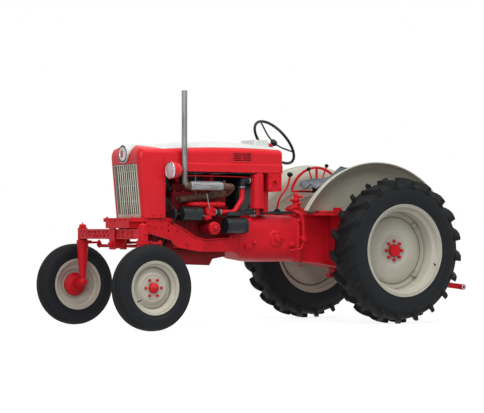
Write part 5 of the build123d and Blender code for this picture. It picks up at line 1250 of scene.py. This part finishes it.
# The pedals' levers, their rods and the differential's lock lever
for name, radius, points in (
        ("clutch_pedal", 11, [(902, 440, 952), (880, 440, 922), (800, 440, 905), (772, 438, 850),
                              (768, 436, 700)]),
        ("brake_pedal_right", 11, [(902, -70, 952), (880, -70, 922), (800, -70, 905), (776, -60, 850),
                                   (768, -40, 700)]),
        ("brake_pedal_left", 11, [(892, 10, 950), (870, 6, 922), (800, 0, 905), (776, -22, 850),
                                  (768, -26, 700)]),
        ("clutch_rod", 7, [(768, 432, 700), (772, 434, 640), (800, 430, 612), (900, 426, 606)]),
        ("brake_rod", 6, [(766, -40, 700), (560, -70, 660), (200, -250, 640), (60, -430, 610)]),
        ("lock_lever", 12, [(700, 330, 892), (780, 345, 925), (880, 352, 938)])):
    own(tube(name, points, radius, red_casting, 4))
shape = bmesh.new()
for y, facing in ((408, LEFT), (-8, -LEFT)):
    band(shape, (768, y, 700), facing, 0, 44, 24, cut=4, count=28)
own(placed("pedal_bosses", shape, [red_casting]))
REST_BACK, REST_FRONT, REST_TOP = REAR_TYRE_R - 162, REAR_TYRE_R + 98, 902
RIB_LENGTH, RIB_STEP, RIB_COUNT = 200, 26, 9
for hand, low_y in (("left", 292), ("right", -138)):
    shape = bmesh.new()
    strip(shape, (REST_BACK + 30, low_y, REST_TOP), (REST_BACK + 30, low_y + RIB_LENGTH, REST_TOP), UP, 7, 4)
    own(grown(placed(f"footrest_ribs_{hand}", shape, []), row_tree(red_casting),
              {"Count": RIB_COUNT, "Step": (RIB_STEP * MM, 0, 0)}))
bolts("footrest_bolts", red_bolts,
      [((x, y, REST_TOP), UP, 15) for y in (345, 90) for x in (REST_BACK + 18, REST_FRONT - 14)])
own(tube("gear_lever_rod", [(870, 200, 935), (868, 200, 985), (830, 200, 1060), (760, 200, 1130),
                            (745, 200, 1215)], 8.5, red_casting, 4), "chassis", "gear_lever")
knob = [(-16, 0), (-12, 12), (-4, 21), (6, 25), (16, 22), (24, 12), (26, 0)]
boot = [(0, 0), (0, 46), (10, 46), (12, 38), (20, 40), (24, 30), (32, 32), (36, 22), (44, 24), (50, 10),
        (54, 0)]
shape = bmesh.new()
turned(shape, rounded(knob, 2, 2), (745, 200, 1222), UP, 32)
turned(shape, rounded(boot, 2, 2), (870, 200, CASE_TOP), UP, 32)
own(placed("gear_lever_knob", shape, [valve_rubber]), "chassis", "gear_lever")

# Seat. A pan pressed from one steel sheet in blue-grey enamel, its rim rolled, on a sprung post. Its front
# dips for each thigh, and its back turns up to hold the driver on a slope.
SEAT_HALF, SEAT_GAUGE, SEAT_ACROSS = 200, 4, 24
SEAT_SIDE_LIFT, SEAT_THIGH_DIP, SEAT_MIDDLE_LIFT = 58, 26, 14
# The pan's middle line from front to back: forward and up
SEAT_LINE = ((402, 1146), (384, 1158), (330, 1153), (230, 1148), (120, 1150), (50, 1178), (15, 1218),
             (-8, 1262), (-18, 1300))
seat_enamel = enamel("alkyd enamel on pressed steel, blue-grey", "5E6872", "4E5862", 0.0001,
                     0.3, corner_shade_and_dirt=0.4)


def seat_height(z, reach, along):
    """The pan's height at a share of its half width: sides turn up, and the front dips beside its middle."""
    side_lift = SEAT_SIDE_LIFT * abs(reach) ** 3 * min(1.0, along / 3) * (1 - 0.7 * max(0, along - 6) / 2)
    front = max(0.0, 1 - along / 2.2)
    thigh_dip = SEAT_THIGH_DIP * front * sin(pi * min(1.0, abs(reach) * 1.15)) ** 2
    middle_lift = SEAT_MIDDLE_LIFT * front * (1 - min(1.0, abs(reach) * 3)) ** 2
    return z + side_lift - thigh_dip + middle_lift


shape = bmesh.new()
grid = []
for along, (x, z) in enumerate(SEAT_LINE):
    row = []
    for step in range(SEAT_ACROSS + 1):
        reach = 2 * step / SEAT_ACROSS - 1
        # The corners of the front and the top of the back are rounded in plan
        narrow = 1 - 0.22 * (max(0, along - 4) / 4) ** 2 - (0.05 if along == 0 else 0)
        forward = x - 26 * max(0.0, 1 - along) * abs(reach) ** 4
        row.append(shape.verts.new(at(forward, reach * SEAT_HALF * narrow, seat_height(z, reach, along))))
    grid.append(row)
for here, there in zip(grid, grid[1:]):
    for step in range(SEAT_ACROSS):
        shape.faces.new((here[step], there[step], there[step + 1], here[step + 1]))
for face in shape.faces:
    face.smooth = True
seat = placed("seat", shape, [seat_enamel], 60)
for kind, settings in (("SUBSURF", {"levels": 2, "render_levels": 2}),
                       ("SOLIDIFY", {"thickness": SEAT_GAUGE * MM, "offset": 0.0})):
    modifier = seat.modifiers.new(kind.lower(), kind)
    for key, value in settings.items():
        setattr(modifier, key, value)
own(seat, "chassis", "seat_pan")
# The rolled rim goes round the pan's edge: across the front, back along a side, across and forward again
row_length, last_row = SEAT_ACROSS + 1, len(SEAT_LINE) - 1
edge = list(range(row_length))
edge += [row * row_length + SEAT_ACROSS for row in range(1, last_row + 1)]
edge += [last_row * row_length + step for step in range(SEAT_ACROSS - 1, -1, -1)]
edge += [row * row_length for row in range(last_row - 1, -1, -1)]
own(tube("seat_rim", [measured(seat.data.vertices[i].co) for i in edge], 5.5, seat_enamel, 3))
finish(red_casting, "seat_support")
SEAT_POST = (235, 0)
coil = [(SEAT_POST[0] + 40 * cos(step * tau / 12), 40 * sin(step * tau / 12), 1082 + step * 0.9)
        for step in range(61)]
own(tube("seat_spring", coil, 5, black_enamel, 2))
shape = bmesh.new()
cut_plate(shape, rounded([(-85, -70), (85, -70), (85, 70), (-85, 70)], 18), (SEAT_POST[0], 0, 1137), FORWARD,
          LEFT, 8)
strip(shape, (330, -60, 1088), (330, -60, 1142), LEFT, 30, 8)
strip(shape, (330, 60, 1088), (330, 60, 1142), -LEFT, 30, 8)
band(shape, (330, 0, 1106), LEFT, -66, 66, 13, count=24)
own(placed("seat_mounting", shape, [black_enamel]))
bolts("seat_bolts", bolt_tree(seat_enamel),
      [((SEAT_POST[0] + x, y, 1151), UP, 15) for x in (-50, 50) for y in (-40, 40)])

# Lift control. A forged lever with a round rubber knob swings over the quadrant, an arc of steel plate,
# beside a smaller draft lever. Both turn on one pin, which is bolted through the quadrant's boss.
QUADRANT, QUADRANT_Y, QUADRANT_R = (185, 1040), -230, 275
for name, angle, reach, y in (("lift_lever", 112, 305, -244), ("draft_lever", 70, 268, -216)):
    way = ray(radians(angle))
    foot = Vector((QUADRANT[0], y, QUADRANT[1]))
    own(tube(name, [foot, foot + way * reach * 0.6, foot + way * (reach - 10)], 7, red_casting, 3))
    shape = bmesh.new()
    turned(shape, rounded([(-18, 0), (-14, 10), (-4, 17), (6, 18), (15, 12), (18, 0)], 2, 2),
           foot + way * reach, way, 24)
    own(placed(f"{name}_knob", shape, [valve_rubber]))
shape = bmesh.new()
band(shape, (QUADRANT[0], QUADRANT_Y, QUADRANT[1]), LEFT, -26, 26, 26, cut=4)
own(placed("lever_boss", shape, [red_casting]))
notches = circle((QUADRANT[0], QUADRANT_Y + 6, QUADRANT[1]), QUADRANT_R - 10,
                 [radians(angle) for angle in range(40, 145, 13)])
bolts("quadrant_bolts", red_bolts,
      [(place, LEFT, 9) for place in notches] + [((QUADRANT[0], QUADRANT_Y + 26, QUADRANT[1]), LEFT, 22)])

# Dash and steering. The wheel has a rim of black plastic moulded over steel with finger grips, three steel
# spokes and a plain cap. Below it are a white dash panel with round instruments, and a red throttle lever.
WHEEL_HUB, COLUMN_SLOPE, WHEEL_R, WHEEL_RIM, GRIPS = (770, 0, 1500), 38, 217, 13, 48
finish(black_enamel, "steering_column")
finish(red_casting, "rear_support")
finish(white_sheet, "dash_panel")
wheel_axis = Vector((-cos(radians(COLUMN_SLOPE)), 0, sin(radians(COLUMN_SLOPE))))
wheel_up = LEFT.cross(wheel_axis)
wheel_plastic = moulded("moulded black plastic", "121416", "1D2022", 0.3, 0.1)
shape = bmesh.new()
rings, steps, sides = [], GRIPS * 6, 12
for step in range(steps):
    angle = step * tau / steps
    away = LEFT * cos(angle) + wheel_up * sin(angle)
    ring = []
    for side in range(sides):
        turn = side * tau / sides
        # The grips are scallops on the rim's under side
        under = max(0.0, -sin(turn))
        minor = WHEEL_RIM - 1 - 1.6 * under * (0.5 + 0.5 * cos(angle * GRIPS))
        place = Vector(WHEEL_HUB) + away * (WHEEL_R + minor * cos(turn)) + wheel_axis * minor * sin(turn)
        ring.append(shape.verts.new(at(*place)))
    rings.append(ring)
skin(shape, rings + rings[:1])
own(placed("steering_rim", shape, [wheel_plastic], 60), "steering_wheel", "steering_wheel")
shape = bmesh.new()
turned(shape, rounded([(-24, 0), (-24, 22), (-14, 30), (2, 32), (10, 28), (14, 18), (15, 0)], 3, 3),
       WHEEL_HUB, wheel_axis, 40)
turned(shape, [(-102, 0), (-102, 9), (-20, 9), (-20, 0)], WHEEL_HUB, wheel_axis, 20)
own(placed("steering_hub", shape, [black_enamel]), "steering_wheel", "steering_wheel")
shape = bmesh.new()
turned(shape, rounded([(14, 0), (14, 16), (18, 15), (21, 8), (22, 0)], 2, 2), WHEEL_HUB, wheel_axis, 32)
own(placed("steering_cap", shape, [chrome]), "steering_wheel")
for number in range(3):
    angle = radians(90 + 120 * number)
    away = LEFT * cos(angle) + wheel_up * sin(angle)
    # Each spoke's line: a distance from the hub, and how far it sags below the rim
    route = [Vector(WHEEL_HUB) + away * reach - wheel_axis * sag
             for reach, sag in ((20, 8), (80, 16), (150, 8), (WHEEL_R, 0))]
    own(tube(f"steering_spoke_{number + 1}", route, 7, black_enamel, 3), "steering_wheel", "steering_wheel")

# Collar and throttle lever under the wheel
shape = bmesh.new()
turned(shape, rounded([(-60, 0), (-60, 25), (-44, 27), (-42, 0)], 3, 2), WHEEL_HUB, wheel_axis, 32)
band(shape, WHEEL_HUB, wheel_axis, -200, -180, 26)
own(placed("column_collars", shape, [red_casting]))
own(tube("throttle_lever", [(838, -10, 1447), (822, -60, 1440), (790, -120, 1425), (735, -165, 1412)], 6,
         red_casting, 3))
shape = bmesh.new()
turned(shape, rounded([(-14, 0), (-10, 9), (0, 12), (10, 9), (14, 0)], 2, 2), (730, -168, 1411),
       (-0.8, -0.6, -0.2), 20)
own(placed("throttle_knob", shape, [valve_rubber]))

# Instruments face the driver in plated bezels: plain black faces with white marks
DASH_X = 988
gauge_white = enamel("screen-printed marks, white", "E4E6E2", "D8DAD6", 0.00002, 0.5,
                     corner_shade_and_dirt=0.0)
bezels, faces, marks = bmesh.new(), bmesh.new(), bmesh.new()
# Each dial: left, up and radius. Eleven marks share its scale, and a needle rests across it.
for y, z, r in ((BODY_Y, 1330, 52), (BODY_Y + 120, 1322, 32), (BODY_Y - 120, 1322, 32)):
    middle = Vector((DASH_X, y, z))
    turned(bezels, rounded([(0, r - 6), (0, r + 4), (8, r + 3), (10, r - 2), (6, r - 6)], 2, 2), middle,
           -FORWARD, 48)
    turned(faces, [(0, 0), (0, r - 5), (3, r - 5), (3, 0)], middle, -FORWARD, 48)
    for step in range(11):
        angle = radians(210 - step * 24)
        away = Vector((0, -cos(angle), sin(angle)))
        strip(marks, middle + away * (r * 0.68) - FORWARD * 2.5, middle + away * (r * 0.84) - FORWARD * 2.5,
              -FORWARD, 2, 1)
    strip(marks, middle - FORWARD * 3, middle - FORWARD * 3 + Vector((0, 0.6 * r, 0.35 * r)), -FORWARD, 2,
          1.5)
# The switch, the starter's button, the choke's knob and the key's barrel
control = rounded([(0, 0), (0, 12), (5, 12), (5, 6), (14, 6), (14, 11), (22, 11), (24, 0)], 2, 2)
for y, z in ((BODY_Y + 60, 1268), (BODY_Y - 60, 1268), (BODY_Y - 160, 1262), (BODY_Y + 160, 1262)):
    turned(faces, control, (DASH_X, y, z), -FORWARD, 24)
own(placed("gauge_bezels", bezels, [chrome]))
own(placed("gauge_faces", faces, [black_enamel]))
own(placed("gauge_marks", marks, [gauge_white]))
bolts("dash_screws", bolt_tree(white_sheet),
      [((DASH_X, BODY_Y + y, z), -FORWARD, 8) for y in (-215, 215) for z in (1245, 1355)])

# Support under the hood's back end: an inspection hole with a rolled rim, and its bolts
shape = bmesh.new()
band(shape, (1055, BODY_Y + HOOD_HALF, 1145), LEFT, -4, 3, 29, bore=22, cut=2)
own(placed("support_hole_rim", shape, [red_casting]))
bolts("support_bolts", red_bolts,
      [((x, BODY_Y + HOOD_HALF, z), LEFT, 13) for x in (1006, 1095) for z in (1105, 1210)])

# Fenders. Pressed steel in pale grey enamel: a flat panel, a round crown and a beaded lip, stiffened by
# pressed swages and bolted to the brackets on the axle's trumpets.
FENDER_CENTRE, FENDER_R, PANEL_Y, BEAD_Y, FENDER_LOW = (70, 510), 820, 365, 478, 930
fender_enamel = enamel("alkyd enamel on pressed steel, pale grey", "B9B8A9", "A7A595", 0.0001,
                       0.3, corner_shade_and_dirt=0.35)
finish(fender_enamel, "fender_left", "fender_right")
for out, hand in SIDES:
    shape = bmesh.new()
    # Swages on the panel's inner face: first and last angle, and radius about the fender's centre
    for first, last, r in ((42, 138, 640), (50, 130, 560)):
        line = circle((FENDER_CENTRE[0], out * PANEL_Y, FENDER_CENTRE[1]), r,
                      [radians(angle) for angle in range(first, last + 1, 4)])
        line = [point for point in line if point[2] > FENDER_LOW + 12]
        for here, there in zip(line, line[1:]):
            strip(shape, here, there, LEFT * -out, 12, 4)
    # The crown's outer half carries a low bead just inboard of its lip, which catches the light
    middle = Vector((FENDER_CENTRE[0], out * BEAD_Y, FENDER_CENTRE[1]))
    line = circle(middle, FENDER_R - 1, [radians(angle) for angle in range(32, 149, 3)])
    arc = [Vector(place) for place in line]
    for here, there in zip(arc, arc[1:]):
        strip(shape, here, there, (here + there) / 2 - middle, 6, 3)
    strip(shape, (-120, out * PANEL_Y, 945), (120, out * PANEL_Y, 945), LEFT * -out, 40, 5)
    own(placed(f"fender_swages_{hand}", shape, [fender_enamel]))
    bolts(f"fender_bolts_{hand}", red_bolts,
          [((x, out * (PANEL_Y + 3), z), LEFT * out, 17) for x in (-80, 0, 80) for z in (945, 975)])

# Hitch. Forged lift arms, threaded lift rods and drawn-steel lower links, painted red, with plated pins
# held by spring clips. A plain drawbar runs under the axle.
LINK_PIVOT, LINK_END, LINK_PIVOT_Y, LINK_END_Y = (-60, 400), (-950, 279), 210, 340
ARM_PIVOT, ARM_LENGTH, ARM_Y, PIN_BORE = (-120, 900), 300, 324, 11.4
finish(red_casting, "lower_link_left", "lower_link_right", "lift_arms", "lift_rod_left", "lift_rod_right",
       "drawbar")
link_run = Vector((LINK_END[0] - LINK_PIVOT[0], LINK_END[1] - LINK_PIVOT[1]))
link_way = link_run.normalized()
ROD_FOOT = (LINK_PIVOT[0] + ARM_LENGTH * link_way.x, LINK_PIVOT[1] + ARM_LENGTH * link_way.y)
ARM_TIP = (ARM_PIVOT[0] + ARM_LENGTH * link_way.x, ARM_PIVOT[1] + ARM_LENGTH * link_way.y)
ROD_FOOT_Y = LINK_PIVOT_Y + ARM_LENGTH / link_run.length * (LINK_END_Y - LINK_PIVOT_Y) + 26
ROD_TOP_Y = ARM_Y - 12 - 6 - 9
ball_steel = bare_metal("ground steel, bright", "C4C4C2", "8E8A84", 0.25, cover=0.25)
for out, hand in SIDES:
    shape = bmesh.new()
    # The ball in each eye has its bore left open for the pin
    ball = rounded([(-21, PIN_BORE), (-21, 15), (-12, 21.5), (12, 21.5), (21, 15), (21, PIN_BORE)], 2, 2)
    for (x, z), y in ((LINK_END, LINK_END_Y), (LINK_PIVOT, LINK_PIVOT_Y)):
        turned(shape, ball, (x, out * y, z), LEFT, 32)
    own(placed(f"link_balls_{hand}", shape, [ball_steel]), f"lower_link_{hand}")
    shape = bmesh.new()
    foot = Vector((ROD_FOOT[0], out * ROD_FOOT_Y, ROD_FOOT[1]))
    tip = Vector((ARM_TIP[0], out * ROD_TOP_Y, ARM_TIP[1]))
    run = (tip - foot).normalized()
    barrel = rounded([(0, 12), (0, 19), (110, 19), (118, 15), (118, 12)], 3, 2)
    thread = [(0, 12)] + [(a * 4 + 2, 14 if a % 2 else 12.5) for a in range(30)] + [(122, 12)]
    turned(shape, barrel, foot + run * 60, run, 24)
    turned(shape, thread, foot + run * 182, run, 20)
    own(placed(f"lift_rod_screw_{hand}", shape, [red_casting]), f"lift_rod_{hand}")
    shape = bmesh.new()
    for point in (foot, tip):
        band(shape, point + LEFT * out * 10, LEFT * out, 0, 4, 19, bore=11.5, cut=1, count=24)
    own(placed(f"lift_rod_washers_{hand}", shape, [zinc_plate]), f"lift_rod_{hand}")
    bolts(f"arm_bolts_{hand}", red_bolts,
          [((ARM_PIVOT[0], out * (ARM_Y + 12), ARM_PIVOT[1]), LEFT * out, 30)], "lift_arms")
DRAWBAR_Y = 100
shape = bmesh.new()
for x in (-140, 170, 240):
    strip(shape, (x, DRAWBAR_Y - 46, 380), (x, DRAWBAR_Y + 46, 380), -UP, 30, 8)
own(placed("drawbar_straps", shape, [red_casting]))
bolts("drawbar_bolts", red_bolts,
      [((x, DRAWBAR_Y + y, 372), -UP, 16) for x in (-140, 170, 240) for y in (-37, 37)])

# Power take-off. A stub of ground steel with six splines, 35 mm across, runs in a collar bolted to the back
# of the axle. It is bright where an implement's shaft slides on.
PTO_ROOT, PTO_Z, PTO_R, PTO_LENGTH = -178, 560, 17.46, 77
shape = bmesh.new()
section = []
for middle in even(6):
    # A spline's corners: the turn from its middle, and the share of the shaft's radius
    for shift, r in ((-0.30, 0.80), (-0.26, 1.0), (0.26, 1.0), (0.30, 0.80)):
        section.append((PTO_R * r * cos(middle + shift), PTO_R * r * sin(middle + shift)))
cut_plate(shape, section, (PTO_ROOT, BODY_Y, PTO_Z), LEFT, UP, -PTO_LENGTH)
turned(shape, [(-80, 0), (-80, 15), (1, 15), (1, 0)], (PTO_ROOT, BODY_Y, PTO_Z), -FORWARD, 32)
band(shape, (PTO_ROOT, BODY_Y, PTO_Z), -FORWARD, PTO_LENGTH - 16, PTO_LENGTH - 8, PTO_R - 2, bore=14.2, cut=1)
own(placed("pto_splines", shape, [ball_steel]), "pto_shaft", "pto_shaft")
pto_circle = circle((-174, BODY_Y, PTO_Z), 33, even(4, pi / 4), "yz")
bolts("pto_bolts", red_bolts, [(place, -FORWARD, 12) for place in pto_circle])

# The studio: a seamless pale sweep under the tractor, a broad soft light overhead and ahead of it as under
# a white sky, and a long lens at the height of a wheel's hub, ahead of the front left wheel.
FLOOR_HALF, FLOOR_GLOW = 40.0, 0.86


def sweep_material():
    """Pure white to the eye and in reflections, but darker where the tractor's shadow lies on it."""
    material, tree, output = blank_material("painted studio sweep")
    matte = add(tree, "ShaderNodeBsdfDiffuse", {"Color": linear("A8A8A6")})
    glow = add(tree, "ShaderNodeEmission", {"Color": (1, 1, 1, 1), "Strength": FLOOR_GLOW})
    seen = add(tree, "ShaderNodeLightPath").outputs
    straight = add(tree, "ShaderNodeMath", {0: seen["Is Camera Ray"], 1: seen["Is Glossy Ray"]},
                   {"operation": "MAXIMUM"}).outputs[0]
    both = add(tree, "ShaderNodeAddShader", {0: matte.outputs[0], 1: glow.outputs[0]})
    shown(tree, output, add(tree, "ShaderNodeMixShader",
                            {0: straight, 1: matte.outputs[0], 2: both.outputs[0]}))
    return material


shape = bmesh.new()
corners = [shape.verts.new((x * FLOOR_HALF, y * FLOOR_HALF, 0))
           for x, y in ((-1, -1), (1, -1), (1, 1), (-1, 1))]
shape.faces.new(corners)
floor = placed("studio_floor", shape, [sweep_material()])

world = bpy.data.worlds.new("white sky")
world.use_nodes = True
sky_tree = world.node_tree
sky_tree.nodes.clear()
seen = add(sky_tree, "ShaderNodeLightPath").outputs
straight = seen["Is Camera Ray"]
for other in ("Is Glossy Ray", "Is Transmission Ray"):
    straight = add(sky_tree, "ShaderNodeMath", {0: straight, 1: seen[other]},
                   {"operation": "MAXIMUM"}).outputs[0]
SKY_LIGHT = 0.42
strength = ramp(sky_tree, straight, SKY_LIGHT, 1.0, 0.0, 1.0)
sky = add(sky_tree, "ShaderNodeBackground", {"Color": (1, 1, 1, 1), "Strength": strength})
sky_output = add(sky_tree, "ShaderNodeOutputWorld")
sky_tree.links.new(sky.outputs[0], sky_output.inputs["Surface"])
bpy.context.scene.world = world


def soft_box(name, place, target, size, power, colour=(1, 1, 1)):
    """A square area lamp aimed at a point."""
    light = bpy.data.lights.new(name, "AREA")
    light.size, light.energy, light.color = size, power, colour
    lamp = bpy.data.objects.new(name, light)
    bpy.context.scene.collection.objects.link(lamp)
    aim = (Vector(target) - Vector(place)).to_track_quat("-Z", "Y").to_matrix().to_4x4()
    lamp.matrix_world = Matrix.Translation(place) @ aim
    return lamp


soft_box("overhead", (1.0, 2.5, 6.0), (0, 0, 0.8), 5.0, 300)
soft_box("ahead", (7.0, 6.0, 3.5), (0.2, 0, 0.8), 3.0, 170)

CAMERA_AHEAD, CAMERA_LEFT, CAMERA_HEIGHT = 9485, 13356, 772
VIEW = Vector((-0.532, -0.846, 0.0122))
LENS, SENSOR, FARTHEST = 142.5, 36.0, 200.0
lens = bpy.data.cameras.new("long lens")
lens.sensor_width, lens.lens, lens.clip_end = SENSOR, LENS, FARTHEST
camera = bpy.data.objects.new("camera", lens)
bpy.context.scene.collection.objects.link(camera)
camera_turn = VIEW.to_track_quat("-Z", "Y").to_matrix().to_4x4()
camera.matrix_world = Matrix.Translation(at(CAMERA_AHEAD, CAMERA_LEFT, CAMERA_HEIGHT)) @ camera_turn
bpy.context.scene.camera = camera
bpy.context.scene.view_settings.view_transform = "Standard"
